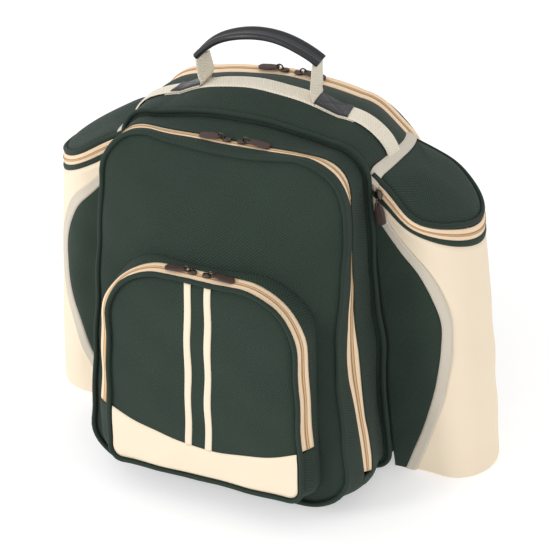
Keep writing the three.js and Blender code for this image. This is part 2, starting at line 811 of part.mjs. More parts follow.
// Zip pulls, each made lying along +X on a tape in the XY plane: a slider with its ring, and a tab
function pullParts() {
  const half = sliderWidth / 2;
  const body = loft([
    [[-sliderLength / 2, 0.6], [-sliderLength / 2 + 1.5, 1]],
    [[sliderLength / 2 - 1.5, 1], [sliderLength / 2, 0.6]],
  ].flat().map(([x, wide]) => [[-1, 0], [1, 0], [0.7, 1], [-0.7, 1]].map(
    ([y, h]) => vec(x, y * half * wide, h * sliderHeight * (0.6 + 0.4 * wide)),
  )));
  const ringCentre = sliderLength / 2 + ringRadius - 2.4;
  const ringHeight = ringRadius + ringWire;
  const ringPath = range(8, (i) => {
    const angle = Math.PI * i / 4;
    return vec(ringCentre + ringRadius * Math.cos(angle), 0, ringHeight + ringRadius * Math.sin(angle));
  });
  const ringShape = tube(ringPath, ringWire, vec(0, 1, 0), true, 5);
  const slider = fromSolid(solid(body).add(solid(ringShape)));

  const shape = new THREE.Shape();
  const wide = tabWidth / 2;
  const roundStart = tabLength - 3 - wide;
  shape.moveTo(-3, -wide * 0.6);
  shape.lineTo(roundStart, -wide);
  shape.absarc(roundStart, 0, wide, -Math.PI / 2, Math.PI / 2);
  shape.lineTo(-3, wide * 0.6);
  shape.closePath();
  const hole = new THREE.Path();
  hole.absarc(0, 0, tabHole, 0, 2 * Math.PI, true);
  shape.holes.push(hole);
  const tab = new THREE.ExtrudeGeometry(
    shape,
    { depth: tabThickness, bevelEnabled: false, curveSegments: 3 },
  );
  tab.translate(0, 0, -tabThickness / 2);
  tab.rotateY(Math.asin((ringHeight - tabThickness / 2 - 2 * seamGap) / tabLength) * 0.8);
  tab.translate(ringCentre + ringRadius, 0, ringHeight);
  return { slider, tab: fromSolid(solid(tab)) };
}

const pull = pullParts();

// A pull at a place on a zip, with the direction that its tab lies in and the way up from the tape
function placePull(name, at, along, up) {
  const across = up.clone().cross(along).normalize();
  const turn = new THREE.Matrix4().makeBasis(along, across, along.clone().cross(across).normalize());
  const pieces = [['slider', pull.slider, bronze], ['tab', pull.tab, brownLeather]];
  for (const [part, geometry, material] of pieces) {
    const mesh = place(`${name}_${part}`, geometry, material);
    mesh.quaternion.setFromRotationMatrix(turn);
    mesh.position.copy(at).addScaledVector(up, coilRise + 2 * seamGap);
  }
}

// A place on top of the wall between two outlines
function wallTop(front, rear, share, x) {
  const s = mix(front, rear, share);
  const z = s.top + crownAt(s, x);
  return vec(x, s.y + s.lean * z - (s.dome ? s.dome * plateBulge(x, z) : 0), z);
}

// Two pulls head to head on top of a zip. Each lies flat on the tape, along it and across it.
function placePair(name, middle, front, rear, [from, to]) {
  for (const [side, word] of [[-1, 'left'], [1, 'right']]) {
    const x = middle + side * pullSpacing / 2;
    const near = wallTop(front, rear, (from + to) / 2, x);
    const far = wallTop(front, rear, (from + to) / 2, x + side * tabLength);
    const along = far.sub(near).normalize();
    const across = wallTop(front, rear, to, x).sub(wallTop(front, rear, from, x));
    const up = vec(1, 0, 0).cross(across).normalize();
    up.addScaledVector(along, -up.dot(along)).normalize();
    placePull(`${name}_${word}`, near, along, up);
  }
}

// One pull hangs at the front end of each bottle pocket's zip
for (const [name, side] of [['left', -1], ['right', 1]]) {
  const out = 2 * bindingWidth;
  const height = lidLevel(hingeX + out) - lidZipWidth / 2;
  placePull(`${name}_pocket`, bottleFront(out, height, sidePullStand, side), vec(0, 0, -1), vec(0, -1, 0));
}

placePair('front_pocket', pocketPullMiddle, pocketFace, pocketSeat, pocketZipSpan(pocketHeight));
placePair('plate_pocket', platePullMiddle, plateFace, plateSeat, plateZipSpan(plateHeight));
placePair('body', bodyPullMiddle, bodyRear, backSeam, [0, 1]);

// Shoulder straps on the back panel, each a padded strap and the webbing tail below it
const backAt = (z) => backFace.y + backFace.lean * z;

function ribbon(curve, width, thickness) {
  return spread(2 * curve.points.length, (t) => {
    const p = curve.getPoint(t);
    const along = curve.getTangent(t);
    const across = vec(1, 0, 0).addScaledVector(along, -along.x).normalize();
    const out = across.clone().cross(along).normalize();
    return [[-1, -0.4], [-0.9, -1], [0.9, -1], [1, -0.4], [1, 0.4], [0.9, 1], [-0.9, 1], [-1, 0.4]].map(
      ([a, b]) => p.clone().addScaledVector(across, a * width / 2).addScaledVector(out, b * thickness / 2),
    );
  });
}

const strapRoute = [
  { down: 0, reach: -0.04, spread: 0 },
  { down: 0.07, reach: 0.55, spread: 0.02 },
  { down: 0.25, reach: 0.93, spread: 0.12 },
  { down: 0.5, reach: 1, spread: 0.35 },
  { down: 0.8, reach: 0.86, spread: 0.75 },
  { down: 1, reach: 0.7, spread: 1 },
];

function makeStrap(name, side) {
  const clear = strapThickness / 2 + seamGap;
  const points = strapRoute.map((row) => {
    const z = lerp(strapTopHeight, strapFootHeight, row.down);
    const x = side * lerp(strapTopSpread, strapFootSpread, row.spread);
    return vec(x, backAt(z) + clear + row.reach * strapReach, z);
  });
  const route = new THREE.CatmullRomCurve3(points);
  place(`${name}_shoulder_strap`, loft(ribbon(route, strapWidth, strapThickness)), greenCanvas);
  const start = route.getPoint(1).addScaledVector(route.getTangent(1), 4 * seamGap);
  const footX = side * (bodyHalfWidth - tailFootInset);
  const foot = vec(footX, backAt(tailFootHeight) + tailThickness + seamGap, tailFootHeight);
  const middle = start.clone().lerp(foot, 0.5).add(vec(0, tailBow, 0));
  const tail = new THREE.CatmullRomCurve3([start, middle, foot]);
  place(`${name}_strap_tail`, loft(ribbon(tail, tailWidth, tailThickness)), creamWebbing);
}

makeStrap('left', -1);
makeStrap('right', 1);

// Stand the bag on the origin
bag.updateMatrixWorld(true);
const bounds = new THREE.Box3().setFromObject(bag, true);
const middle = bounds.getCenter(vec(0, 0, 0));
bag.position.set(-middle.x, -middle.y, -bounds.min.z);

export default bag;
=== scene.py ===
# %% [markdown]
# # A picnic cooler backpack
# The bag is sewn from dark green and cream canvas. It has an insulated body, a large and a small
# pocket on the front, a bottle pocket on each side, a carrying handle, and straps on the back.
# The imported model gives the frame: where each piece sits and how large it is. Each cell below
# makes one kind of piece as a surface worked out with numpy, and lays it over that frame.

# %% Load the frame
import math

import bpy
import numpy as np
from mathutils import Matrix, Vector


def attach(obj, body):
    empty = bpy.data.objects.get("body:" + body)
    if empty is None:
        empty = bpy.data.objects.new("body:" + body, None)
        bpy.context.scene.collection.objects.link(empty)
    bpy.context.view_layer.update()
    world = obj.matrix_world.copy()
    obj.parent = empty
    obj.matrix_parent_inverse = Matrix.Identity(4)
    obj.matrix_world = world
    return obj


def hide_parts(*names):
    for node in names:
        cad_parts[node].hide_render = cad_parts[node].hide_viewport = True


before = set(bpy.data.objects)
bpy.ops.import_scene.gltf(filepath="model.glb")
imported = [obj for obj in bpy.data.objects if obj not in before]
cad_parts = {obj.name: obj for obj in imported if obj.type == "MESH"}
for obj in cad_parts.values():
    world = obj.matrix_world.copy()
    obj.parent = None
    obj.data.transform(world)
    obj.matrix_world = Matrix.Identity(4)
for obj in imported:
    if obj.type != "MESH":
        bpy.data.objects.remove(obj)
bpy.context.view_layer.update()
print("nodes in the frame:", len(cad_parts))

# %% [markdown]
# ## Camera
# The photograph was taken from the front right and from above, with a long lens. A camera that
# far away keeps upright edges almost parallel. It is turned a little about its own axis, as the
# photographer's was.

# %% Camera
camera_target = Vector((0.01656, 0.00315, 0.2015))
camera_turn = math.radians(25.22)
camera_rise = math.radians(34.06)
camera_roll = math.radians(-3.0)
camera_distance = 2.2

away = Vector((
    math.sin(camera_turn) * math.cos(camera_rise),
    -math.cos(camera_turn) * math.cos(camera_rise),
    math.sin(camera_rise),
))
camera_data = bpy.data.cameras.new("camera")
camera_data.lens = 131.4
camera_data.sensor_width = 36.0
camera = bpy.data.objects.new("camera", camera_data)
bpy.context.scene.collection.objects.link(camera)
camera.location = camera_target + away * camera_distance
level = Vector((math.cos(camera_turn), math.sin(camera_turn), 0))
upward = away.cross(level)
right = level * math.cos(camera_roll) + upward * math.sin(camera_roll)
up = upward * math.cos(camera_roll) - level * math.sin(camera_roll)
camera.rotation_euler = Matrix((right, up, away)).transposed().to_euler()
bpy.context.scene.camera = camera

# %% [markdown]
# ## Light and floor
# A soft studio: an even white surround, and one large light from the front left, so that the
# bag's right side falls into shade. The floor is paper lit from below, as a product table is,
# which keeps the contact shadow pale.

# %% Colours and nodes


def linear(code, alpha=1.0):
    """A hex colour as linear light: each channel is undone from its sRGB curve."""
    channels = [int(code[i:i + 2], 16) / 255 for i in (1, 3, 5)]
    bright = [c / 12.92 if c <= 0.04045 else ((c + 0.055) / 1.055) ** 2.4 for c in channels]
    return (*bright, alpha)


def feed(node, **links):
    """Joins outputs to a node's inputs. An input is given by its name, or by i and its number."""
    for key, source in links.items():
        name = int(key[1:]) if key[0] == "i" and key[1:].isdigit() else key.replace("_", " ")
        node.id_data.links.new(source, node.inputs[name])


def add(tree, kind, settings=None, **links):
    """Adds a node, sets its properties and inputs, and joins it to what is linked."""
    node = tree.nodes.new(kind)
    for key, value in (settings or {}).items():
        if isinstance(key, str) and hasattr(node, key):
            setattr(node, key, value)
        else:
            node.inputs[key].default_value = value
    feed(node, **links)
    return node


def paint(name, constants):
    """A new material, its tree and its shader, with constants on the shader's inputs."""
    material = bpy.data.materials.new(name)
    material.use_nodes = True
    shader = material.node_tree.nodes["Principled BSDF"]
    for key, value in constants.items():
        shader.inputs[key].default_value = value
    return material, material.node_tree, shader


# %% Floor, surround and lamps
scene = bpy.context.scene
scene.view_settings.view_transform = "Standard"
scene.world = bpy.data.worlds.new("studio")
scene.world.use_nodes = True
surround = scene.world.node_tree.nodes["Background"]
surround.inputs["Color"].default_value = linear("#ffffff")
surround.inputs["Strength"].default_value = 0.94

half_floor = 6.0
floor_mesh = bpy.data.meshes.new("floor")
floor_mesh.from_pydata(
    [(-half_floor, -half_floor, 0), (half_floor, -half_floor, 0),
     (half_floor, half_floor, 0), (-half_floor, half_floor, 0)], [], [(0, 1, 2, 3)])
floor = bpy.data.objects.new("floor", floor_mesh)
scene.collection.objects.link(floor)
floor_paint, _, _ = paint("matt_white_studio_paper", {
    "Base Color": linear("#d8d8d8"), "Emission Color": linear("#ffffff"), "Emission Strength": 0.42,
    "Roughness": 1.0, "Specular IOR Level": 0.0})
floor_mesh.materials.append(floor_paint)


def lamp(name, place, size, power):
    """A square soft light at a place in metres, turned to the middle of the bag."""
    data = bpy.data.lights.new(name, "AREA")
    data.size = size
    data.energy = power
    obj = bpy.data.objects.new(name, data)
    obj.location = place
    obj.rotation_euler = (Vector(place) - camera_target).to_track_quat("Z", "Y").to_euler()
    scene.collection.objects.link(obj)


lamp("key", (-1.9, -2.4, 1.9), 1.0, 37)

# %% [markdown]
# ## Canvas
# The bag is cut from polyester canvas: a plain weave of thick yarns with a matt, slightly fuzzy
# face. Each surface carries its own map in metres, so the weave can have its real size
# everywhere: the yarns are drawn 1.5 mm apart, about twice the real spacing, because the real
# ones are finer than the picture's pixels. Height comes from two crossed sine waves, and slow noise
# darkens and lightens the dye a little, as cloth that was rolled and sewn does.
# The same height also colours the cloth: painted shade in the hollows between yarns and painted highlight on
# their crowns.

# %% Woven cloth
MM = 0.001


def woven(name, yarn, shade, spacing, depth, painted_shade_contrast, roughness, sheen, ribs=1.0):
    """Cloth of crossed yarns. Over and under follow sin(u) sin(v), so the weave is a soft
    checker; ribs stretches it across, which turns canvas into ribbed tape. The same height also
    scales the colour: painted shade in the hollows between yarns, painted highlight on their crowns."""
    material, tree, shader = paint(name, {
        "Roughness": roughness, "Sheen Weight": sheen, "Sheen Roughness": 0.5,
        "Specular IOR Level": 0.3})

    cloth = add(tree, "ShaderNodeUVMap", {"uv_map": "cloth"})
    wander = add(tree, "ShaderNodeTexNoise", {"Scale": 260.0, "Detail": 1.0}, Vector=cloth.outputs[0])
    bent = add(tree, "ShaderNodeVectorMath", {"operation": "MULTIPLY_ADD", 1: (0.0006, 0.0006, 0.0)},
               i0=wander.outputs["Color"], i2=cloth.outputs[0])
    parts = add(tree, "ShaderNodeSeparateXYZ", i0=bent.outputs[0])
    waves = []
    for axis, size in (("X", spacing), ("Y", spacing * ribs)):
        turns = add(tree, "ShaderNodeMath", {"operation": "MULTIPLY", 1: math.pi / (size * MM)},
                    i0=parts.outputs[axis])
        waves.append(add(tree, "ShaderNodeMath", {"operation": "SINE"}, i0=turns.outputs[0]))
    checker = add(tree, "ShaderNodeMath", {"operation": "MULTIPLY"},
                  i0=waves[0].outputs[0], i1=waves[1].outputs[0])
    slub = add(tree, "ShaderNodeTexNoise", {"Scale": 900.0, "Detail": 2.0}, Vector=cloth.outputs[0])
    height = add(tree, "ShaderNodeMath", {"operation": "MULTIPLY_ADD", 1: 0.5},
                 i0=checker.outputs[0], i2=slub.outputs["Fac"])
    # Painted shade and highlight: the colour is darker in the weave's hollows and lighter on its crowns, by
    # the same height as the bump
    tone = add(tree, "ShaderNodeMapRange", {"From Min": 0.1, "From Max": 0.9, "To Min": 1 - painted_shade_contrast,
                                            "To Max": 1 + painted_shade_contrast}, Value=height.outputs[0])
    coords = add(tree, "ShaderNodeTexCoord")
    dye = add(tree, "ShaderNodeTexNoise", {"Scale": 9.0, "Detail": 2.0}, Vector=coords.outputs["Object"])
    base = add(tree, "ShaderNodeMix", {"data_type": "RGBA", 6: linear(shade), 7: linear(yarn)},
               i0=dye.outputs["Fac"])
    colour = add(tree, "ShaderNodeVectorMath", {"operation": "SCALE"}, i0=base.outputs[2],
                 Scale=tone.outputs[0])
    bump = add(tree, "ShaderNodeBump", {"Strength": 1.0, "Distance": depth * MM}, Height=height.outputs[0])
    feed(shader, Base_Color=colour.outputs[0], Normal=bump.outputs[0])
    return material


# The sixth number of each cloth is how strong its painted shade and highlight from the weave are
green_canvas = woven("dyed_green_polyester_canvas", "#29392f", "#213027", 1.5, 0.45, 0.4, 0.85, 0.05)
cream_canvas = woven("cream_coated_canvas", "#f0e0c8", "#ecdbc1", 1.0, 0.12, 0.03, 0.7, 0.03)
cream_tape = woven("cream_herringbone_tape", "#d3cabb", "#cbc2b2", 1.2, 0.25, 0.07, 0.85, 0.1)
green_piping = woven("green_bias_bound_cord", "#26352c", "#1e2c24", 1.6, 0.2, 0.1, 0.8, 0.04)
cream_webbing = woven("ribbed_cotton_webbing", "#ebe2d1", "#e4dac6", 1.6, 0.5, 0.06, 0.9, 0.15, 2.0)

# %% [markdown]
# ## Zip tape
# A zip is a pair of knitted tapes with a nylon coil along the middle. From a distance the coil
# reads as two brown lines on a peach tape. The map runs along the zip in metres and across it
# from 0 to 1, so the lines are placed by their share of the width.

# %% Zip tape
coil_middle = 0.5
coil_spread = 0.085
coil_line = 0.05
tooth_pitch = 1.8


def zip_cloth(name, tape, coil, shade):
    """Knitted tape with two coil lines. A line is dark where the distance from its own middle,
    as a share of the zip's width, is small."""
    material, tree, shader = paint(name, {"Roughness": 0.75, "Specular IOR Level": 0.35})
    cloth = add(tree, "ShaderNodeUVMap", {"uv_map": "cloth"})
    parts = add(tree, "ShaderNodeSeparateXYZ", i0=cloth.outputs[0])
    centred = add(tree, "ShaderNodeMath", {"operation": "SUBTRACT", 1: coil_middle}, i0=parts.outputs["Y"])
    aside = add(tree, "ShaderNodeMath", {"operation": "ABSOLUTE"}, i0=centred.outputs[0])
    off = add(tree, "ShaderNodeMath", {"operation": "SUBTRACT", 1: coil_spread}, i0=aside.outputs[0])
    near = add(tree, "ShaderNodeMath", {"operation": "ABSOLUTE"}, i0=off.outputs[0])
    line = add(tree, "ShaderNodeMapRange", {"From Min": coil_line, "From Max": 0.4 * coil_line,
                                            "To Min": 0.0, "To Max": 1.0}, Value=near.outputs[0])
    inner = add(tree, "ShaderNodeMapRange", {"From Min": coil_spread, "From Max": 0.5 * coil_spread,
                                             "To Min": 0.0, "To Max": 1.0}, Value=aside.outputs[0])
    turns = add(tree, "ShaderNodeMath", {"operation": "MULTIPLY", 1: 2 * math.pi / (tooth_pitch * MM)},
                i0=parts.outputs["X"])
    teeth = add(tree, "ShaderNodeMath", {"operation": "SINE"}, i0=turns.outputs[0])
    middle = add(tree, "ShaderNodeMix", {"data_type": "RGBA", 6: linear(tape), 7: linear(shade)},
                 i0=inner.outputs[0])
    lined = add(tree, "ShaderNodeMix", {"data_type": "RGBA", 7: linear(coil)}, i0=line.outputs[0],
                i6=middle.outputs[2])
    knit = add(tree, "ShaderNodeTexNoise", {"Scale": 700.0, "Detail": 2.0}, Vector=cloth.outputs[0])
    ridges = add(tree, "ShaderNodeMath", {"operation": "MULTIPLY"}, i0=teeth.outputs[0],
                 i1=line.outputs[0])
    height = add(tree, "ShaderNodeMath", {"operation": "ADD"}, i0=ridges.outputs[0],
                 i1=knit.outputs["Fac"])
    bump = add(tree, "ShaderNodeBump", {"Strength": 0.6, "Distance": 0.3 * MM}, Height=height.outputs[0])
    feed(shader, Base_Color=lined.outputs[2], Normal=bump.outputs[0])
    return material


zip_tape = zip_cloth("peach_coil_zip", "#f2d6b6", "#a37f58", "#dcb98e")

# %% [markdown]
# ## Leather and metal
# The grip and the square patches are black coated leather with a fine pebble grain and a soft
# shine. The pull tabs are brown leather. Sliders and rings are zinc castings plated dark bronze.

# %% Leather and metal


def grained(name, hide, crease, roughness, grain, depth):
    """Leather: rounded cells of a Voronoi pattern for the pebble grain, and noise that
    varies the dye and the shine."""
    material, tree, shader = paint(name, {"IOR": 1.5})
    coords = add(tree, "ShaderNodeTexCoord")
    cells = add(tree, "ShaderNodeTexVoronoi", {"Scale": 1 / (grain * MM)}, Vector=coords.outputs["Object"])
    wear = add(tree, "ShaderNodeTexNoise", {"Scale": 60.0, "Detail": 3.0}, Vector=coords.outputs["Object"])
    mixed = add(tree, "ShaderNodeMix", {"data_type": "RGBA", 6: linear(crease), 7: linear(hide)},
                i0=wear.outputs["Fac"])
    shine = add(tree, "ShaderNodeMapRange", {"From Min": 0.3, "From Max": 0.7, "To Min": roughness - 0.06,
                                             "To Max": roughness + 0.08}, Value=wear.outputs["Fac"])
    bump = add(tree, "ShaderNodeBump", {"Strength": 0.5, "Distance": depth * MM},
               Height=cells.outputs["Distance"])
    feed(shader, Base_Color=mixed.outputs[2], Roughness=shine.outputs[0], Normal=bump.outputs[0])
    return material


black_leather = grained("black_coated_leather", "#1f2125", "#141518", 0.33, 1.0, 0.12)
brown_leather = grained("brown_bridle_leather", "#48332a", "#332420", 0.5, 0.9, 0.12)


def plated(name, metal, dull, roughness):
    """Plated zinc: a metal whose plating is duller in patches."""
    material, tree, shader = paint(name, {"Metallic": 1.0})
    coords = add(tree, "ShaderNodeTexCoord")
    patches = add(tree, "ShaderNodeTexNoise", {"Scale": 250.0, "Detail": 2.0},
                  Vector=coords.outputs["Object"])
    mixed = add(tree, "ShaderNodeMix", {"data_type": "RGBA", 6: linear(dull), 7: linear(metal)},
                i0=patches.outputs["Fac"])
    shine = add(tree, "ShaderNodeMapRange", {"To Min": roughness - 0.08, "To Max": roughness + 0.12},
                Value=patches.outputs["Fac"])
    feed(shader, Base_Color=mixed.outputs[2], Roughness=shine.outputs[0])
    return material


bronze = plated("dark_bronze_plating", "#6b625a", "#3d3630", 0.34)


def thread(name, colour):
    """Sewing thread: twisted polyester, so a fine diagonal ripple on a satin surface."""
    material, tree, shader = paint(name, {"Roughness": 0.6})
    coords = add(tree, "ShaderNodeTexCoord")
    twist = add(tree, "ShaderNodeTexNoise", {"Scale": 1500.0}, Vector=coords.outputs["Object"])
    tone = add(tree, "ShaderNodeMapRange", {"To Min": 0.8, "To Max": 1.1}, Value=twist.outputs["Fac"])
    dyed = add(tree, "ShaderNodeVectorMath", {"operation": "SCALE", 0: linear(colour)[:3]},
               Scale=tone.outputs[0])
    feed(shader, Base_Color=dyed.outputs[0])
    return material


cream_thread = thread("cream_polyester_thread", "#e6dccb")
grey_thread = thread("grey_polyester_thread", "#6f7178")
print("materials:", [material.name for material in bpy.data.materials])

# %% [markdown]
# ## From points to a mesh
# Every sewn piece is a grid of points: rows along it, columns round it. Columns that close give a
# tube, and each end of the tube is closed over with a fan of triangles about its middle. The map
# named cloth is measured along the rows and the columns in metres, so the weave keeps its size.
#
# The maker's frame has its zero at the body's front edge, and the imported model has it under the
# middle of the bag, so every point moves by the same step. Soft pushes come with it: cloth that
# is empty sags between its seams, and pieces sewn to each other sag together.

# %% Settling and the mesh helper
maker_step = np.array([0.0, -39.65, 0.0])

# Soft pushes: middle x, y, z, then reach x, y, z, then how far to push x, y, z, in mm
pushes = np.array([
    [152, -60, 205, 26, 60, 70, -9, 0, 0],
    [146, -88, 60, 22, 45, 45, 6, 0, 0],
    [160, 8, 175, 14, 22, 42, 5, 0, 0],
    [163, 8, 300, 14, 22, 40, 1, 0, 0],
    [150, 5, 95, 12, 22, 34, -4, 0, 0],
    [135, 140, 372, 42, 36, 40, -3, 0, -9],
    [10, 140, 402, 75, 30, 30, 0, 0, 5],
    [98, 68, 416, 26, 30, 16, 0, 0, -4],
    [-110, 76, 402, 46, 46, 42, 0, 0, -11],
    [-128, 0, 388, 30, 30, 30, 0, 0, 4],
], float)
# Slow ripples: their length in mm across x, y and z, and their height
ripples = np.array([
    [90, 300, 70, 0.5],
    [-55, 200, 110, 0.35],
    [160, 120, -60, 0.4],
])


def settle(points):
    """Moves points as slack cloth does. Each push fades as exp(-d^2) with the distance d from its
    middle, counted in its own reach, and slow sine ripples are added along y and x."""
    moved = points.copy()
    for row in pushes:
        far = ((points - row[:3]) / row[3:6]) ** 2
        moved += np.exp(-far.sum(-1))[..., None] * row[6:9]
    for row in ripples:
        phase = (points / row[:3]).sum(-1)
        moved[..., 1] += row[3] * np.sin(2 * np.pi * phase)
        moved[..., 0] += 0.6 * row[3] * np.sin(2 * np.pi * phase + 1.7)
    return moved


def grid_map(points, across):
    """The cloth map of a grid, in metres. Rows are measured along the middle of the grid, columns
    round its middle row. A zip has across, its own share of the width at each column."""
    along = np.linalg.norm(np.diff(points, axis=0), axis=-1).mean(1)
    along = np.concatenate([[0], np.cumsum(along)]) * MM
    if across is None:
        middle = points[len(points) // 2]
        around = np.linalg.norm(np.roll(middle, -1, 0) - middle, axis=-1)
        around = np.concatenate([[0], np.cumsum(around)]) * MM
    else:
        around = np.concatenate([across, across[:1]])
    return np.stack(np.broadcast_arrays(along[:, None], around[None]), -1)


def surface(name, points, material, slot, stands_for=(), looped=False, flat=None, across=None,
            settled=True, collect=None):
    """A mesh from a grid of points in the maker's frame, in mm. Its last column joins the first.
    looped joins the last row to the first too. Otherwise the first and last row are fanned shut.
    flat gives a map of its own, in mm, for a panel that is cut flat. collect takes the mesh as
    lists, to be joined to others later."""
    points = np.asarray(points, float)
    chart = grid_map(points, across) if flat is None else np.concatenate([flat, flat[:, :1]], 1) * MM
    placed = (settle(points) if settled else points) + maker_step
    rows, columns = points.shape[:2]
    number = np.arange(rows * columns).reshape(rows, columns)
    r, c = np.meshgrid(np.arange(rows if looped else rows - 1), np.arange(columns), indexing="ij")
    r2, c2 = (r + 1) % rows, (c + 1) % columns
    quads = np.stack([number[r, c], number[r, c2], number[r2, c2], number[r2, c]], -1).reshape(-1, 4)
    steps = chart[1] - chart[0]
    wrapped = np.concatenate([chart, chart[-1:] + steps]) if looped else chart
    corners = np.stack([wrapped[r, c], wrapped[r, c + 1], wrapped[r + 1, c + 1], wrapped[r + 1, c]], -2)
    vertices = placed.reshape(-1, 3)
    faces = quads.tolist()
    loops = [corners.reshape(-1, 2)]
    if not looped:
        for row, (first, second) in ((0, (1, 0)), (rows - 1, (0, 1))):
            pole = np.full(columns, len(vertices))
            vertices = np.concatenate([vertices, placed[row].mean(0)[None]])
            edge = number[row], np.roll(number[row], -1)
            faces += np.stack([pole, edge[first], edge[second]], -1).tolist()
            places = chart[row, :-1], chart[row, 1:]
            centre = np.broadcast_to(places[0].mean(0), places[0].shape)
            loops.append(np.stack([centre, places[first], places[second]], 1).reshape(-1, 2))
    vertices = vertices * MM
    charts = np.concatenate(loops)
    triangles = vertices[np.array([[f[0], f[i], f[i + 1]] for f in faces for i in range(1, len(f) - 1)])]
    volume = np.einsum("ij,ij->i", triangles[:, 0], np.cross(triangles[:, 1], triangles[:, 2])).sum()
    if volume < 0:
        starts = np.cumsum([0] + [len(f) for f in faces])
        charts = np.concatenate([charts[a:b][::-1] for a, b in zip(starts[:-1], starts[1:])])
        faces = [f[::-1] for f in faces]
    if collect is not None:
        collect.append((vertices, faces, charts))
        return None
    return finish_piece(name, vertices, faces, charts, material, stands_for)


def finish_piece(name, vertices, faces, charts, material, stands_for=()):
    """Puts vertices, faces and their map into a mesh that rides on the bag."""
    mesh = bpy.data.meshes.new(name)
    mesh.from_pydata(np.asarray(vertices).tolist(), [], faces)
    mesh.uv_layers.new(name="cloth").data.foreach_set("uv", np.asarray(charts, np.float32).ravel())
    mesh.materials.append(material)
    mesh.polygons.foreach_set("use_smooth", np.ones(len(mesh.polygons), bool))
    mesh.update()
    piece = bpy.data.objects.new(name, mesh)
    scene.collection.objects.link(piece)
    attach(piece, "root")
    if stands_for:
        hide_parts(*stands_for)
    return piece


def finish_joined(name, parts, material, stands_for=()):
    """Several small grids as one piece."""
    vertices, faces, charts = [], [], []
    shift_by = 0
    for part_vertices, part_faces, part_charts in parts:
        vertices.append(part_vertices)
        faces += [[i + shift_by for i in f] for f in part_faces]
        charts.append(part_charts)
        shift_by += len(part_vertices)
    return finish_piece(name, np.concatenate(vertices), faces, np.concatenate(charts), material,
                        stands_for)


# %% [markdown]
# ## Outlines
# Each panel of the bag has the same kind of outline: a straight foot, sides that lean in by taper
# for each millimetre of height, rounded corners, and a top that rises or dips by its crown. All
# outlines have the same number of points in each stretch, so walls can run from one to another.

# %% Outlines of the panels
foot_steps, foot_corner_steps, side_steps, top_corner_steps, top_steps = 12, 10, 52, 20, 16


def panel(half, taper, bottom, top, crown, top_radius, bottom_radius, y, lean):
    """The named sizes of one outline, in mm."""
    return dict(half=half, taper=taper, bottom=bottom, top=top, crown=crown, top_radius=top_radius,
                bottom_radius=bottom_radius, y=y, lean=lean)


def shift(s, by):
    """The same outline further back by some millimetres."""
    return {**s, "y": s["y"] + by}


def shrink(s, by):
    """The outline drawn in by a margin all round, with its corners kept concentric."""
    return {**s, "half": s["half"] - by, "top": s["top"] - by, "bottom": s["bottom"] + by,
            "top_radius": s["top_radius"] - by, "bottom_radius": s["bottom_radius"] - by}


def mix(a, b, t):
    """An outline part of the way from one to another."""
    return {key: a[key] + (b[key] - a[key]) * t for key in a}


def top_centre(s):
    """How far out the middle of the top corner is."""
    return s["half"] - s["taper"] * (s["top"] - s["top_radius"]) - s["top_radius"]


def outline(s):
    """Points round an outline: foot, quarter circle, side, quarter circle, top, and mirrored."""
    foot_height = s["bottom"] + s["bottom_radius"]
    foot_x = s["half"] - s["taper"] * foot_height - s["bottom_radius"]
    t = np.linspace(0, 1, foot_steps, endpoint=False)
    foot = np.stack([foot_x * t, np.full_like(t, s["bottom"])], 1)
    angle = np.radians(np.linspace(-90, 0, foot_corner_steps, endpoint=False))
    low = np.stack([foot_x + s["bottom_radius"] * np.cos(angle),
                    foot_height + s["bottom_radius"] * np.sin(angle)], 1)
    z = np.linspace(foot_height, s["top"] - s["top_radius"], side_steps, endpoint=False)
    side = np.stack([s["half"] - s["taper"] * z, z], 1)
    top_x = top_centre(s)
    angle = np.radians(np.linspace(0, 90, top_corner_steps, endpoint=False))
    high = np.stack([top_x + s["top_radius"] * np.cos(angle),
                     s["top"] - s["top_radius"] + s["top_radius"] * np.sin(angle)], 1)
    x = np.linspace(top_x, 0, top_steps)
    top = np.stack([x, s["top"] + s["crown"] * (1 - (x / top_x) ** 2)], 1)
    half = np.concatenate([foot, low, side, high, top])
    mirrored = half[1:-1][::-1] * [-1, 1]
    return np.concatenate([half, mirrored])


def ring(s):
    """The outline in space. Its plane leans back by lean for each millimetre of height."""
    flat = outline(s)
    return np.stack([flat[:, 0], s["y"] + s["lean"] * flat[:, 1], flat[:, 1]], 1)


def outward(loop):
    """Unit directions away from the middle of closed loops, square to them and to y."""
    step = np.roll(loop, -1, axis=-2) - np.roll(loop, 1, axis=-2)
    normal = np.stack([step[..., 2], np.zeros(step.shape[:-1]), -step[..., 0]], -1)
    return normal / np.linalg.norm(normal, axis=-1, keepdims=True)


def smooth(t):
    """A soft step from 0 to 1."""
    t = np.clip(t, 0, 1)
    return t * t * (3 - 2 * t)


def tube(path, radius, sides=12, looped=True, start=(0.0, 1.0, 0.0)):
    """A round cord along a path: circles square to the path, started from the same direction."""
    path = np.asarray(path, float)
    if looped:
        along = np.roll(path, -1, 0) - np.roll(path, 1, 0)
    else:
        along = np.gradient(path, axis=0)
    along /= np.linalg.norm(along, axis=1, keepdims=True)
    side = np.cross(along, np.asarray(start))
    side /= np.linalg.norm(side, axis=1, keepdims=True)
    lift = np.cross(side, along)
    angle = 2 * np.pi * np.arange(sides) / sides
    radius = np.broadcast_to(radius, len(path))[:, None, None]
    circle = np.cos(angle)[None, :, None] * side[:, None] + np.sin(angle)[None, :, None] * lift[:, None]
    return path[:, None] + radius * circle


edge_bevel = 3.0
piping_radius = 2.7
body_height = 400.0
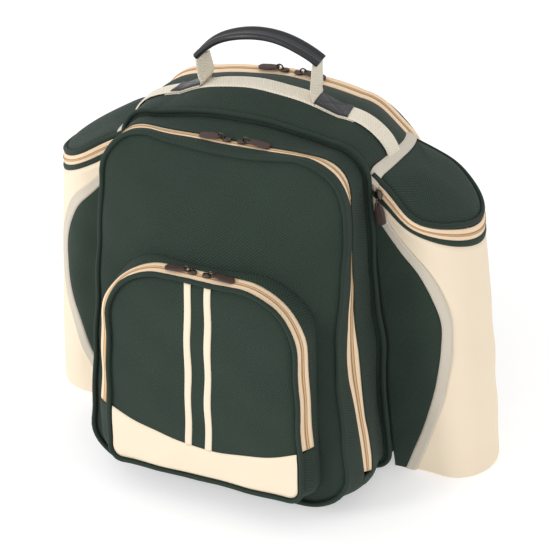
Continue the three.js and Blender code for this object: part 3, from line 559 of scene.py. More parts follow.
# In order: half, taper, bottom, top, crown, top radius, bottom radius, y, lean
body_front = panel(166, 0.071, 3.4, body_height, 11.6, 40, 22, 0, 0.044)
body_middle = panel(166, 0.05, 3.4, 408, 14.4, 60, 28, 61, 0.027)
body_rear = panel(166, 0.032, 3.4, 393.2, 6, 67.2, 22, 122, 0.01)
back_seam = shift(body_rear, 17)
back_face = shift(shrink(body_rear, 11), 26)
plate_face = panel(151, 0.038, 20, 403, -7.3, 56.4, 40.3, -108, 0.19)
plate_seat = shift(shrink(body_front, 5.9), -0.3)
pocket_face = panel(116, 0.041, 40, 283, 0, 64.2, 15.6, -131, 0.085)
pocket_seat = {**pocket_face, "half": 125.5, "top": 287.5, "top_radius": 70.8, "y": -108.3, "lean": 0.19}


def from_middle(face, x, z, margin=0.0):
    """How far a place is from the middle of a face, across and along it: 0 there, 1 at the edge."""
    across = np.clip(np.abs(x) / (face["half"] - margin), 0, 1)
    along = np.clip(np.abs(2 * (z - face["bottom"]) / (face["top"] - face["bottom"]) - 1), 0, 1)
    return across, along


def plate_bulge(x, z):
    """How far the plate pocket's face stands proud of flat: full in the middle, nothing at its
    edges, as (1 - across^2.5) (1 - along^2.5). The front pocket, sewn to it, pulls it forward
    round its top in a soft hump."""
    across, along = from_middle(plate_face, x, z)
    hump = 16 * np.exp(-((x + 5) / 100) ** 2 - ((z - 288) / 56) ** 2)
    return 15 * (1 - across ** 2.5) * (1 - along ** 2.5) + hump * (1 - across ** 4)


def pocket_bulge(x, z):
    """The same for the front pocket, which is only softly stuffed."""
    across, along = from_middle(pocket_face, x, z, edge_bevel)
    return 3.5 * (1 - across ** 3) * (1 - along ** 3)


def body_row(t):
    """The body's outline at a share of its depth, on a parabola through three outlines. The base
    is flat between its two piped edges."""
    bend = ((1 - t) * (1 - 2 * t), 4 * t * (1 - t), t * (2 * t - 1))
    row = {key: bend[0] * body_front[key] + bend[1] * body_middle[key] + bend[2] * body_rear[key]
           for key in body_front}
    row["bottom"] = 3.4 * (1 - smooth(np.minimum(t, 1 - t) / 0.25))
    return row


def body_through(y, z):
    """The body's outline that passes through a depth and a height."""
    near = body_front["y"] + body_front["lean"] * z
    far = body_rear["y"] + body_rear["lean"] * z
    return body_row(np.clip((y - near) / (far - near), 0, 1))


def body_skin(y, z):
    """Half the body's width at a depth and a height."""
    s = body_through(y, z)
    shoulder = s["top"] - s["top_radius"]
    above = np.maximum(z - shoulder, 0)
    straight = s["half"] - s["taper"] * np.minimum(z, shoulder)
    return straight - s["top_radius"] + np.sqrt(np.maximum(s["top_radius"] ** 2 - above ** 2, 0))


print("points round an outline:", len(outline(body_front)))

# %% [markdown]
# ## The insulated body
# The body is a box of canvas over foam. It is widest in the middle of its depth, where the foam
# pushes the cloth out, and is sewn into piping at its front and rear edges. One closed surface
# runs from the middle of its front, over the edge and the walls, to the middle of its rear.

# %% Body, rear band and piping
depths = np.linspace(0, 1, 27)
walls = np.stack([ring(body_row(t)) for t in depths[1:]])
soft = 1.2 * np.sin(np.pi * depths[1:])[:, None, None] * outward(walls) * (walls[..., 2:] > 12)
shell = np.concatenate([
    np.stack([ring(shrink(body_front, edge_bevel + by)) for by in (14, 6, 1.5, 0)]),
    ring(shift(body_front, edge_bevel))[None],
    walls + soft,
])
surface("body_shell", shell, green_canvas, "green_canvas", ["cooler_body"])

# Across a zip: the share of its width, and how far its tape or its coils stand up there, in mm
zip_section = np.array([
    [0, 0], [0.15, 0.1], [0.3, 0.1], [0.37, 0.1], [0.4, 0.7], [0.42, 1.0], [0.44, 0.9], [0.47, 0.4],
    [0.5, 0.3], [0.53, 0.4], [0.56, 0.9], [0.58, 1.0], [0.6, 0.7], [0.63, 0.1], [0.7, 0.1],
    [0.85, 0.1], [1, 0],
])
zip_share, zip_rise = zip_section.T
tape_wall = 1.2


def band(front, rear, share, rise, pick, wall=tape_wall, bend=None):
    """A closed strip of cloth in the wall between two rings. share gives the place of each
    column across the strip and rise its height over the wall. bend says how far a slack wall
    stands out or in at a share."""
    share = np.broadcast_to(share, (len(pick), share.shape[-1]))[..., None]
    rise = np.broadcast_to(rise, share.shape[:2])[..., None]
    base = front[pick][:, None] * (1 - share) + rear[pick][:, None] * share
    direction = outward(front)[pick][:, None]
    if bend is not None:
        base = base + direction * bend(share[..., 0], pick)[..., None]
    return np.concatenate([base + direction * rise, (base - direction * wall)[:, ::-1]], 1)


def slack(low, high, at_low, at_high):
    """How a slack wall stands: flat at its edges, pushed out by at_low where the zip begins and
    by at_high where it ends, with soft steps between. All are given for each station."""
    def bend(share, pick):
        a, b, first, second = (v[pick][:, None] for v in (low, high, at_low, at_high))
        return (first * smooth(share / a) + (second - first) * smooth((share - a) / (b - a))
                - second * smooth((share - b) / (1 - b)))
    return bend


def upper(s, height):
    """The stations of an outline above a height, in order over the top."""
    points = outline(s)
    return np.flatnonzero(points[:, 1] >= height)


def lower(s, height):
    """The stations below a height, in order under the foot, from the left side to the right."""
    points = outline(s)
    below = np.flatnonzero(points[:, 1] <= height)
    gap = np.flatnonzero(np.diff(below) > 1)
    return np.roll(below, -(gap[0] + 1)) if len(gap) else below


zip_across = np.concatenate([zip_share, zip_share[::-1]])
flat_share = np.linspace(0, 1, 7)
over = upper(body_rear, 120)
tape_rings = ring(shift(body_rear, 0.3)), ring(shift(back_seam, -0.3))
surface("body_zip_tape", band(*tape_rings, zip_share, zip_rise, over),
        zip_tape, "zip_tape", ["body_zip"], across=zip_across)
under = lower(body_rear, 121)
surface("body_rear_band", band(*tape_rings, flat_share, 0 * flat_share, under, 2.4), green_canvas,
        "green_canvas", ["body_rear_gusset"])

stand = (piping_radius + 0.1) * math.sqrt(0.5) - edge_bevel / 2


def piping(name, face, node, inwards=1):
    """Piping on a bevelled edge: a cord in a fold of cloth, a little uneven where it was sewn."""
    seat = ring(shift(shrink(face, -stand), -inwards * stand))
    length = np.arange(len(seat))
    radius = piping_radius * (1 + 0.03 * np.sin(length * 0.9) + 0.02 * np.sin(length * 2.3))
    return surface(name, tube(seat, radius), green_piping, "cream_tape", [node], looped=True)


piping("body_front_piping", body_front, "body_piping")
piping("body_rear_piping", back_face, "back_piping", -1)

# %% [markdown]
# ## Plate pocket
# The large pocket on the front. Its face is one panel that domes out over the plates, and its
# wall is two strips of canvas with a zip between them. The wall is slack: on the right it
# creases along the zip, so the tape turns to the front and shows as a long leaf, and above that
# a fold of the strip behind covers it.

# %% Plate pocket
station_x, station_z = outline(plate_face).T

# On the right side: height, how far the wall stands out where the zip begins and where it ends,
# and how much of the tape shows
slack_rows = np.array([
    [20, 3, 3, 1.0],
    [45, 9, 11, 1.0],
    [75, 6, 13, 1.0],
    [118, 3, 8.5, 0.75],
    [160, 1, 8.5, 0.9],
    [190, 1, 9, 1.0],
    [220, 2, 7, 0.6],
    [250, 1, 5, 0.35],
    [290, 0, 1, 0.15],
    [309, 0, 0, 0.0],
    [352, 0, 0, 0.0],
    [366, 0, 0, 0.6],
    [380, 0, 0, 1.0],
    [403, 0, 0, 1.0],
])
on_right = station_x > 0
at_low, at_high, shown = (
    np.where(on_right, np.interp(station_z, slack_rows[:, 0], slack_rows[:, k]), left)
    for k, left in ((1, 0.0), (2, 0.0), (3, 1.0)))
# Along the top the strip behind hides part of the tape: x in mm, and how much shows
top_rows = np.array([
    [-151, 1.0], [-118, 1.0], [-90, 0.85], [-40, 0.55], [40, 0.5], [85, 0.6], [112, 1.0], [151, 1.0],
])
shown = np.where(station_z > 388, np.interp(station_x, top_rows[:, 0], top_rows[:, 1]), shown)

plate_zip_width, plate_middle, plate_zip_end = 13.0, 0.36, 54.0
plate_front, plate_rear = ring(plate_face), ring(plate_seat)
plate_depth = 108 - 0.146 * station_z
zip_low = plate_middle - plate_zip_width / 2 / plate_depth
zip_high = plate_middle + plate_zip_width / 2 / plate_depth
plate_slack = slack(zip_low, zip_high, at_low, at_high)
stations = np.arange(len(station_x))


def dome_rows(face, bulge):
    """Rings from the edge of a face to its middle. The edge is drawn back into the seam, and the
    face rounds forward out of it as 1 - exp(-d / 4) with the distance d from the seam."""
    inset = np.array([0, 1, 2, 3.5, 5.5, 8, 12])
    edges = np.stack([ring(shrink(face, edge_bevel + by)) for by in inset])
    middle = np.array([0, 0, (face["bottom"] + face["top"]) / 2])
    shares = np.linspace(0, 1, 24)[1:-1, None, None] ** 0.8
    inner = edges[-1][None] * (1 - shares) + middle * shares
    rows = np.concatenate([edges, inner])
    last = edge_bevel + inset[-1]
    distance = np.concatenate([inset, last + 60 * shares[:, 0, 0]])[:, None]
    rows[..., 1] = (face["y"] + face["lean"] * rows[..., 2] - bulge(rows[..., 0], rows[..., 2])
                    + 2.6 * np.exp(-distance / 4))
    return rows


def face_map(points, face):
    """The map of a pocket's panel: x and z on its face. On its walls the distance behind the face
    is added, outwards, so that the weave runs on round the edge."""
    behind = points[..., 1] - face["y"] - face["lean"] * points[..., 2]
    middle = (face["bottom"] + face["top"]) / 2
    u = points[..., 0] + behind * np.clip(points[..., 0] / 100, -1, 1)
    v = points[..., 2] + behind * np.clip((points[..., 2] - middle) / 150, -1, 1)
    return np.stack([u, v], -1)


def pocket_panel(name, face, rings, share_end, bulge, node, bend):
    """The face of a pocket and the strip of wall in front of its zip, as one closed surface."""
    share = share_end[:, None] * np.linspace(0.05, 1, 9)
    wall = np.swapaxes(band(*rings, share, 0 * share, stations, 0, bend), 0, 1)[:9]
    tucked = wall[-1] - outward(rings[0]) * 2.0
    behind = ring(shrink(face, 12))
    behind[:, 1] += 6
    rows = np.concatenate([dome_rows(face, bulge)[::-1], wall, tucked[None], behind[None]])
    return surface(name, rows, green_canvas, "green_canvas", [node], flat=face_map(rows, face))


hidden = (1 - shown) * plate_zip_width / plate_depth
with_zip = station_z >= plate_zip_end
front_edge = zip_low - 0.3 / plate_depth + np.where(with_zip, 0.35 * hidden, 0)
pocket_panel("plate_pocket_front", plate_face, (plate_front, plate_rear), front_edge, plate_bulge,
             "plate_pocket_panel", plate_slack)

over = upper(plate_face, plate_zip_end)
share = zip_low[over][:, None] + (zip_high - zip_low)[over][:, None] * zip_share
tape = band(plate_front, plate_rear, share, zip_rise - 1.0, over, bend=plate_slack)
surface("plate_pocket_zip_tape", tape, zip_tape, "zip_tape", ["plate_pocket_zip"], across=zip_across)

rear_start = np.where(with_zip, zip_high + 0.3 / plate_depth - 0.65 * hidden, zip_low + 0.002)
steps = np.linspace(0, 1, 14) ** 1.3
share = rear_start[:, None] + (1 - rear_start)[:, None] * steps
rolled = 1.2 * np.exp(-steps / 0.06) * np.minimum(hidden[:, None] * 12 + 0.2, 1)
surface("plate_pocket_wall", band(plate_front, plate_rear, share, rolled, stations, 2.4, plate_slack),
        green_canvas, "green_canvas", ["plate_pocket_gusset"], looped=True)
piping("plate_pocket_edge_piping", plate_face, "plate_pocket_piping")

# %% [markdown]
# ## Front pocket
# The small pocket has the same make: face, piping, zip and a strip that meets the large pocket's
# face. The cream yoke and the two stripes are appliqué, sewn flat on its face.

# %% Front pocket
pocket_x, pocket_z = outline(pocket_face).T
pocket_front, pocket_rear = ring(pocket_face), ring(pocket_seat)
pocket_rear[:, 1] -= plate_bulge(pocket_rear[:, 0], pocket_rear[:, 2])
pocket_depth = np.linalg.norm(pocket_rear - pocket_front, axis=1)
pocket_zip_width, pocket_zip_end = 14.5, 101.0
pocket_low = 3.0 / pocket_depth
pocket_high = np.minimum((3.0 + pocket_zip_width) / pocket_depth, 0.9)
# Down the sides the tape lies almost flat to the front, so the wall stands out behind it, more so
# on the left
turned_out = np.where(pocket_x < 0, 13.0, 3.5) * smooth((275 - pocket_z) / 70) * smooth(pocket_z / 70)
pocket_slack = slack(pocket_low, pocket_high, 0 * turned_out, turned_out)
pocket_rings = pocket_front, pocket_rear
pocket_panel("front_pocket_front", pocket_face, pocket_rings, pocket_low, pocket_bulge,
             "front_pocket_panel", pocket_slack)

over = upper(pocket_face, pocket_zip_end)
share = pocket_low[over][:, None] + (pocket_high - pocket_low)[over][:, None] * zip_share
surface("front_pocket_zip_tape", band(*pocket_rings, share, zip_rise, over, bend=pocket_slack), zip_tape,
        "zip_tape", ["front_pocket_zip"], across=zip_across)
start = np.where(pocket_z < pocket_zip_end, pocket_low + 0.002, pocket_high + 0.004)
steps = np.linspace(0, 1, 10) ** 1.2
share = start[:, None] + (1 - start)[:, None] * steps
wall = band(*pocket_rings, share, np.sin(np.pi * steps), stations, 2.0, pocket_slack)
surface("front_pocket_wall", wall, green_canvas, "green_canvas", ["front_pocket_gusset"], looped=True)
piping("front_pocket_edge_piping", pocket_face, "front_pocket_piping")

# %% Yoke and stripes
yoke_height, yoke_edge_rise = 82.0, 25.0


def on_pocket(x, z, lift):
    """A place on the front pocket's face, stood off it by lift."""
    y = pocket_face["y"] + pocket_face["lean"] * z - pocket_bulge(x, z) - lift
    return np.stack(np.broadcast_arrays(x, y, z), -1)


def yoke_top(x):
    """The sagging top edge of the cream yoke: a parabola, a little higher on the left."""
    return yoke_height + yoke_edge_rise * (x / 116) ** 2 - 0.03 * x


def slab(x, z, lift):
    """A flat appliqué: an outer face of points, and an inner face behind it. Its edges are
    turned under, so the outer face falls to the pocket's face at its border."""
    outer = on_pocket(x, z, lift)
    inner = on_pocket(x, z, lift * 0 + 0.1)
    return np.concatenate([outer, inner[:, ::-1]], 1)


field = shrink(pocket_face, edge_bevel + 0.6)
corner = field["bottom_radius"]
across_steps = 61
t = np.linspace(-1, 1, across_steps)
rim = field["half"] - field["taper"] * yoke_height
x = rim * np.sin(t * np.pi / 2)[:, None]
inside = np.maximum(np.abs(x) - (rim - corner), 0)
foot = field["bottom"] + corner - np.sqrt(np.maximum(corner ** 2 - inside ** 2, 0))
up_share = np.linspace(0, 1, 16)[None]
z = foot + (yoke_top(x) - foot) * up_share
side_x = x * (1 - field["taper"] * (z - yoke_height) / rim)
edge_fall = (np.minimum(np.minimum(up_share, 1 - up_share) * 14, 1)
             * np.minimum((1 - np.abs(t))[:, None] * 30, 1))
surface("front_pocket_cream_yoke", slab(side_x, z, 0.4 + 0.9 * np.sqrt(edge_fall)), cream_canvas,
        "cream_canvas", ["front_pocket_yoke"])

stripe_width = 7.8
for name, at_top, at_yoke in (("left", -12.0, -16.0), ("right", 11.0, 7.0)):
    ends = (yoke_top(at_yoke) - 1, field["top"] + 0.5)
    z = np.linspace(*ends, 50)[:, None]
    middle = at_yoke + (at_top - at_yoke) * ((z - ends[0]) / (ends[1] - ends[0])) ** 0.8
    s = np.linspace(-0.5, 0.5, 9)[None]
    lift = 0.3 + 0.7 * np.sqrt(np.clip(1 - (2 * np.abs(s)) ** 6, 0, 1))
    surface(f"{name}_cream_stripe", slab(middle + stripe_width * s, z + 0 * s, lift + 0 * z), cream_canvas,
            "cream_canvas", [f"{name}_stripe"])

# %% [markdown]
# ## Bottle pockets
# Each side pocket is a tube of cream canvas, a D in plan, with a green band and a zip round its
# top and a sloping lid. A level is the height of a station for its distance across the bag, so
# the rim, the zip and the lid all slope down and away from the body.

# %% Shape of a bottle pocket
lid_hinge, lid_slope, lid_zip_width, lid_band = 366.0, 0.6, 13.0, 8.0
# How far each pocket stands out from the body at its foot and at the lid, and its radius there
foot_reach, lid_reach = 104.0, 97.0
foot_radius, lid_radius = 48.0, 54.0


def bottle_middle(z):
    """How far back the middle of a pocket is: it leans with the body."""
    return 59 + 0.045 * z


hinge_x = float(body_skin(bottle_middle(lid_hinge), lid_hinge))


def lid_level(x):
    """Height of the lid's seam at a distance from the middle of the bag."""
    return lid_hinge - lid_slope * (x - hinge_x)


def rim_level(x):
    """Height where the cream tube ends."""
    return lid_level(x) - lid_zip_width - lid_band


bottle_top = float(lid_level(hinge_x + lid_reach))


def bottle_plan(z):
    """Radius of the round end and the place of its middle, from wide at the foot to the top."""
    t = z / bottle_top
    radius = foot_radius + (lid_radius - foot_radius) * t
    foot_end = body_front["half"] + foot_reach
    reach = foot_end + (hinge_x + lid_reach - foot_end) * t
    belly = 2.0 * np.sin(np.pi * np.clip(t, 0, 1))
    return radius + 0.3 * belly, reach - radius + 0.7 * belly


straight_steps, arc_steps, wall_steps = 10, 40, 8
station_out = np.concatenate([
    np.zeros(wall_steps), np.linspace(0, 1, straight_steps, endpoint=False),
    np.ones(arc_steps), np.linspace(1, 0, straight_steps + 1)[1:],
])
station_angle = np.concatenate([
    np.zeros(wall_steps + straight_steps), np.linspace(0, np.pi, arc_steps),
    np.full(straight_steps, np.pi),
])
wall_across = np.concatenate([
    np.linspace(1, -1, wall_steps, endpoint=False), np.zeros(len(station_out) - wall_steps),
])
is_wall = np.arange(len(station_out)) < wall_steps


def bottle_ring(inset, level, side):
    """One turn round the D. Height follows from the distance out and the other way round, so the
    two are worked out in turns until they agree."""
    x = np.full(len(station_out), hinge_x)
    for _ in range(6):
        z = level(x) + 0 * x
        radius, centre = bottle_plan(z)
        radius = radius - inset
        across = np.where(is_wall, wall_across, -np.cos(station_angle))
        y = bottle_middle(z) + radius * across
        skin = body_skin(y, z) + 0.9 + np.maximum(inset, 0)
        x = np.where(station_out < 1, skin + (centre - skin) * station_out,
                     centre + radius * np.sin(station_angle))
    return np.stack([side * x, y, z], -1)


def bottle_band(share, rise, low_level, high_level, side, wall=tape_wall):
    """A strip round the D, as rows of stations and columns across the strip."""
    outer = [bottle_ring(-r, lambda x, s=s: low_level(x) + (high_level(x) - low_level(x)) * s, side)
             for s, r in zip(share, rise)]
    inner = [bottle_ring(wall, lambda x, s=s: low_level(x) + (high_level(x) - low_level(x)) * s, side)
             for s in share[::-1]]
    return np.swapaxes(np.stack(outer + inner), 0, 1)


def bottle_front(out, z, lift, side):
    """A place on the front of a pocket: how far out from the body's side, how high, how proud."""
    radius, centre = bottle_plan(z)
    skin = body_skin(bottle_middle(z) - radius, z) + 0.9
    straight = centre - skin
    angle = np.maximum(out - straight, 0) / radius
    x = np.where(out <= straight, skin + out, centre + (radius + lift) * np.sin(angle))
    y = bottle_middle(z) - (radius + lift) * np.cos(angle)
    return np.stack([side * x, y, z], -1)


def bottle_settle(points):
    """The top of a pocket sinks towards the back, in step with the distance behind its front, and
    its front leans out and droops in a soft bulge."""
    moved = points.copy()
    x, y, z = np.abs(points[..., 0]), points[..., 1], points[..., 2]
    moved[..., 2] -= 0.105 * (y - 21) * smooth(z / 330)
    ahead = smooth((78 - y) / 55) * np.exp(-((x - 197) / 40) ** 2 - ((z - 350) / 50) ** 2)
    ahead *= np.where(points[..., 0] > 0, 1.0, 0.7)
    moved[..., 1] -= 15 * ahead
    moved[..., 2] -= 8 * ahead
    low_hinge = np.exp(-((points[..., 0] + 146) / 28) ** 2 - ((z - 372) / 30) ** 2)
    moved[..., 2] -= 6 * low_hinge
    behind = smooth((y - 78) / 50) * np.exp(-((x - 190) / 40) ** 2 - ((z - 340) / 60) ** 2)
    moved[..., 1] += 5 * behind
    return moved


# Edge of the green leaf: height in mm, and how far out it reaches on the right and on the left
leaf_rows = np.array([
    [2, 13, 14],
    [26, 23, 27],
    [74, 41, 48],
    [130, 57, 68],
    [173, 64, 78],
    [200, 65, 79],
    [229, 59, 73],
    [259, 45, 58],
    [286, 26, 36],
    [317, 6, 10],
    [332, 1, 2],
])
trim_width = 12.0


def through(rows, count):
    """A smooth curve through a table's rows: a spline by the length along them, sampled evenly."""
    step = np.concatenate([[0], np.cumsum(np.linalg.norm(np.diff(rows, axis=0), axis=1))])
    t = np.linspace(0, step[-1], count)
    slope = np.gradient(rows, step, axis=0)
    i = np.clip(np.searchsorted(step, t, side="right") - 1, 0, len(step) - 2)
    width = (step[i + 1] - step[i])[:, None]
    s = ((t - step[i]) / width[:, 0])[:, None]
    return (rows[i] * (2 * s ** 3 - 3 * s ** 2 + 1) + slope[i] * width * (s ** 3 - 2 * s ** 2 + s)
            + rows[i + 1] * (3 * s ** 2 - 2 * s ** 3) + slope[i + 1] * width * (s ** 3 - s ** 2))


# %% Make both bottle pockets
wall_heights = np.concatenate([[0], np.linspace(0.01, 1, 40)])
lid_thickness, lid_crown = 4.0, 6.0
# The lid slopes, so its cloth is longer than its plan by this much
lid_stretch = 1.17
tube_foot, tube_bend = 0.5, 3.0


def bottle_pocket(name, side):
    """All the sewn pieces of one pocket."""
    def sewn(piece, points, material, slot, node, **more):
        surface(f"{name}_{piece}", bottle_settle(points), material, slot, [f"{name}_pocket_{node}"], **more)

    def doubled(out, height, pad):
        return np.concatenate([bottle_front(out, height, pad, side),
                               bottle_front(out, height, 0.3 + 0 * pad, side)[:, ::-1]], 1)

    wall_foot = tube_foot + tube_bend
    rows = [bottle_ring(tube_bend, lambda x: tube_foot + 0 * x, side),
            bottle_ring(0.6, lambda x: tube_foot + 0.9 + 0 * x, side)]
    rows += [bottle_ring(0, lambda x, s=s: wall_foot + (rim_level(x) - wall_foot) * s, side)
             for s in wall_heights]
    sewn("bottle_tube", np.stack(rows), cream_canvas, "cream_canvas", "body")

    share = np.linspace(0, 1, 6)
    rim = bottle_band(share, 0.8 * np.sin(np.pi * share), lambda x: rim_level(x) + 0.3,
                      lambda x: lid_level(x) - lid_zip_width - 0.3, side)
    sewn("rim_band", rim, green_canvas, "green_canvas", "band", looped=True)
    tape = bottle_band(zip_share, zip_rise, lambda x: lid_level(x) - lid_zip_width,
                       lambda x: lid_level(x) - 0.3, side)
    sewn("lid_zip_tape", tape, zip_tape, "zip_tape", "zip", looped=True, across=zip_across)

    edge = bottle_ring(2 * piping_radius - 1.2, lambda x: lid_level(x) + 0.4, side)
    middle = edge.mean(0)
    shares = np.concatenate([[0, 0.01, 0.02, 0.035, 0.055], np.linspace(0.08, 0.97, 20)])
    rise = (1.2 + (lid_thickness + 1.5) * (1 - np.exp(-shares / 0.045))
            + lid_crown * (1 - (1 - shares) ** 2.2))
    top = edge[None] + (middle - edge)[None] * shares[:, None, None]
    near_crease = np.exp(-((np.abs(top[..., 0]) - 185) / 22) ** 2)
    creases = 0.7 * np.sin(top[..., 1] / 9.0 + 1.3 * side) * near_crease
    top[..., 2] += rise[:, None] + creases * (shares[:, None] > 0)
    lid = np.concatenate([edge[None], top])
    sewn("lid_panel", lid, green_canvas, "green_canvas", "lid", flat=lid[..., :2] * [lid_stretch, 1])
    seam = bottle_ring(piping_radius - 0.6, lambda x: lid_level(x) + piping_radius + 0.3, side)[wall_steps:]
    cord = tube(bottle_settle(seam), piping_radius, looped=False, start=(0, 0, 1.0))
    surface(f"{name}_lid_piping", cord, green_piping, "cream_tape", [f"{name}_pocket_piping"])

    curve = through(leaf_rows[:, [1 if side > 0 else 2, 0]].astype(float), 90)
    tangent = np.gradient(curve, axis=0)
    tangent /= np.linalg.norm(tangent, axis=1, keepdims=True)
    normal = np.stack([tangent[:, 1], -tangent[:, 0]], 1)
    low_cut = np.clip(curve[:, 1:2] / 20, 0.2, 1)
    far = curve + normal * trim_width
    far[:, 1] = np.clip(far[:, 1], 1.5, None)
    steps = np.linspace(0, 1, 14)[None]
    out, height = curve[:, :1] * steps, curve[:, 1:] + 0 * steps
    chart = np.stack([out, height], -1)
    sewn("green_leaf", doubled(out, height, 1.1 + 0.9 * smooth((1 - steps) * 8) * low_cut), green_canvas,
         "green_canvas", "leaf", flat=np.concatenate([chart, chart[:, ::-1]], 1))
    steps = np.linspace(0, 1, 9)[None]
    out = curve[:, :1] + (far - curve)[:, :1] * steps
    height = curve[:, 1:] + (far - curve)[:, 1:] * steps
    pad = 1.3 + 0.9 * np.sqrt(np.clip(1 - (2 * np.abs(steps - 0.5)) ** 8, 0, 1)) + 0 * out
    sewn("leaf_tape", doubled(out, height, pad), cream_tape, "cream_tape", "trim")
    return curve, far


leaf_curves = {name: bottle_pocket(name, side) for name, side in (("left", -1), ("right", 1))}

# %% Binding over each lid's hinge
binding_wall = 1.3


def binding(name, side):
    """A tape over the hinge, from the body's side onto the lid. Its section is a soft bend: a
    parabola from the body, over the seam, to the lid."""
    radius, _ = bottle_plan(lid_hinge)
    t = np.linspace(0, 1, 40)[:, None]
    y = bottle_middle(lid_hinge) - radius - 2.5 + (2 * radius + 2) * t
    hinge = body_skin(y, lid_level(hinge_x)) + 0.9
    hinge_top = lid_level(hinge) + lid_thickness + 0.9
    far = hinge + 9.0
    far_top = lid_level(far) + lid_thickness + 3.4
    high = hinge_top + 3.5
    high_x = hinge - 2.0
    s = np.linspace(0, 1, 13)[None]
    bend = [(1 - s) ** 2, 2 * s * (1 - s), s ** 2]
    x = bend[0] * high_x + bend[1] * (hinge + 1.5) + bend[2] * far
    z = bend[0] * high + bend[1] * (hinge_top + 3.0) + bend[2] * far_top
    z = z - 14 * np.exp(-t / 0.035)
    outer = np.stack([side * (x + 0.8), y + 0 * s, z + binding_wall], -1)
    inner = np.stack([side * x, y + 0 * s, z], -1)
    surface(f"{name}_hinge_binding", bottle_settle(np.concatenate([outer, inner[:, ::-1]], 1)), cream_tape,
            "cream_tape", [f"{name}_pocket_binding"])


binding("left", -1)
binding("right", 1)

# %% [markdown]
# ## Carrying handle
# Cream webbing runs over the top of the body and up into the handle on each side. It is sewn down
# under square leather patches. A leather grip, two rolled beads joined by a web, bridges the legs.

# %% Webbing on the top
flat_part, corner_fall = 0.62, 62.0
set_back, half_span, splay = 68.0, 64.0, 4.0
webbing_width, webbing_wall = 26.0, 1.8


def on_top(u, y, lift):
    """A place on top of the body. u runs from -1 to 1: flat over the top, then down the round
    corners."""
    u, y = np.broadcast_arrays(np.asarray(u, float), np.asarray(y, float))
    z = np.full(u.shape, body_height)
    for _ in range(4):
        s = body_through(y, z)
        top_x = top_centre(s)
        flat_x = top_x * np.abs(u) / flat_part
        angle = np.radians(90 - corner_fall * (np.abs(u) - flat_part) / (1 - flat_part))
        reach = s["top_radius"] + lift
        flat = np.abs(u) <= flat_part
        x = np.where(flat, flat_x, top_x + reach * np.cos(angle))
        height = np.where(flat, s["top"] + s["crown"] * (1 - (flat_x / top_x) ** 2) + lift,
                          s["top"] - s["top_radius"] + reach * np.sin(angle))
        z = height - lift
    return np.stack([np.where(u < 0, -1, 1) * x, y, height], -1)


def over_x(x):
    """Which u lies at a distance from the middle."""
    s = body_through(set_back, body_height)
    top_x = top_centre(s)
    if x <= top_x:
        return flat_part * x / top_x
    return flat_part + (1 - flat_part) * math.degrees(math.asin((x - top_x) / s["top_radius"])) / corner_fall


across = np.linspace(-0.5, 0.5, 17)
rounded = np.sqrt(np.clip(1 - (2 * np.abs(across)) ** 10, 0, 1))


def top_strip(start, end, lift, wall, width, rib=0.0):
    """A closed strip over the top: an upper face with woven ribs, and a lower face."""
    u = np.linspace(start, end, 60)[:, None]
    y = set_back + width * across[None]
    ribs = rib * np.cos(2 * np.pi * 7 * across)[None] * rounded
    upper_face = on_top(u, y, lift + wall * (0.35 + 0.65 * rounded[None]) + ribs)
    lower_face = on_top(u, y, lift + 0 * y)
    return np.concatenate([upper_face, lower_face[:, ::-1]], 1)


first_layer = 0.5
second_layer = first_layer + webbing_wall + 0.2
patch_layer = second_layer + webbing_wall + 0.1
patch_start, patch_length, patch_width = half_span - 0.5, 36.0, 25.5
strap_end = over_x(patch_start + patch_length + 8)
surface("top_cross_strap", top_strip(-strap_end, strap_end, first_layer, webbing_wall, webbing_width),
        cream_webbing, "cream_webbing", ["cross_strap"])

base_u = over_x(half_span)
base_height = float(on_top(base_u, set_back, second_layer)[..., 2])
leg_heights = {"left": 29.0, "right": 41.0}
# The legs are a little twisted, so each turns some of its face to the front, in degrees
leg_twists = {"left": 19.0, "right": 9.0}


def handle_leg(name, side):
    """Webbing from the lid's binding up the round corner, under the patch, and up to the grip. The
    turn at the foot of the leg is a quarter circle."""
    strip = top_strip(side * 1.12, side * base_u, second_layer, webbing_wall, webbing_width, 0.25)
    t = np.linspace(0, 1, 18)[1:, None]
    narrow = 1 - 0.2 * t
    rise = leg_heights[name]
    x = half_span - webbing_wall + splay * t + 5.0 * np.exp(-t / 0.06)
    z = base_height + 1.5 + (rise + 2.5 - 1.5) * t
    ribs = 0.25 * np.cos(2 * np.pi * 7 * across)[None] * rounded
    y = set_back + webbing_width * narrow * across[None]
    inner = np.stack([side * (x - webbing_wall * (0.35 + 0.65 * rounded[None]) - ribs), y, z + 0 * y], -1)
    outer = np.stack([side * x + 0 * y, y, z + 0 * y], -1)
    leg = np.concatenate([inner, outer[:, ::-1]], 1)
    twist = np.radians(leg_twists[name]) * smooth(t / 0.35)
    middle = side * (x - webbing_wall / 2)
    away_x, away_y = leg[..., 0] - middle, leg[..., 1] - set_back
    leg[..., 0] = middle + away_x * np.cos(twist) + away_y * np.sin(twist)
    leg[..., 1] = set_back + away_y * np.cos(twist) - away_x * np.sin(twist)
    surface(f"{name}_handle_leg", np.concatenate([strip, leg]), cream_webbing, "cream_webbing",
            [f"{name}_handle_webbing"])


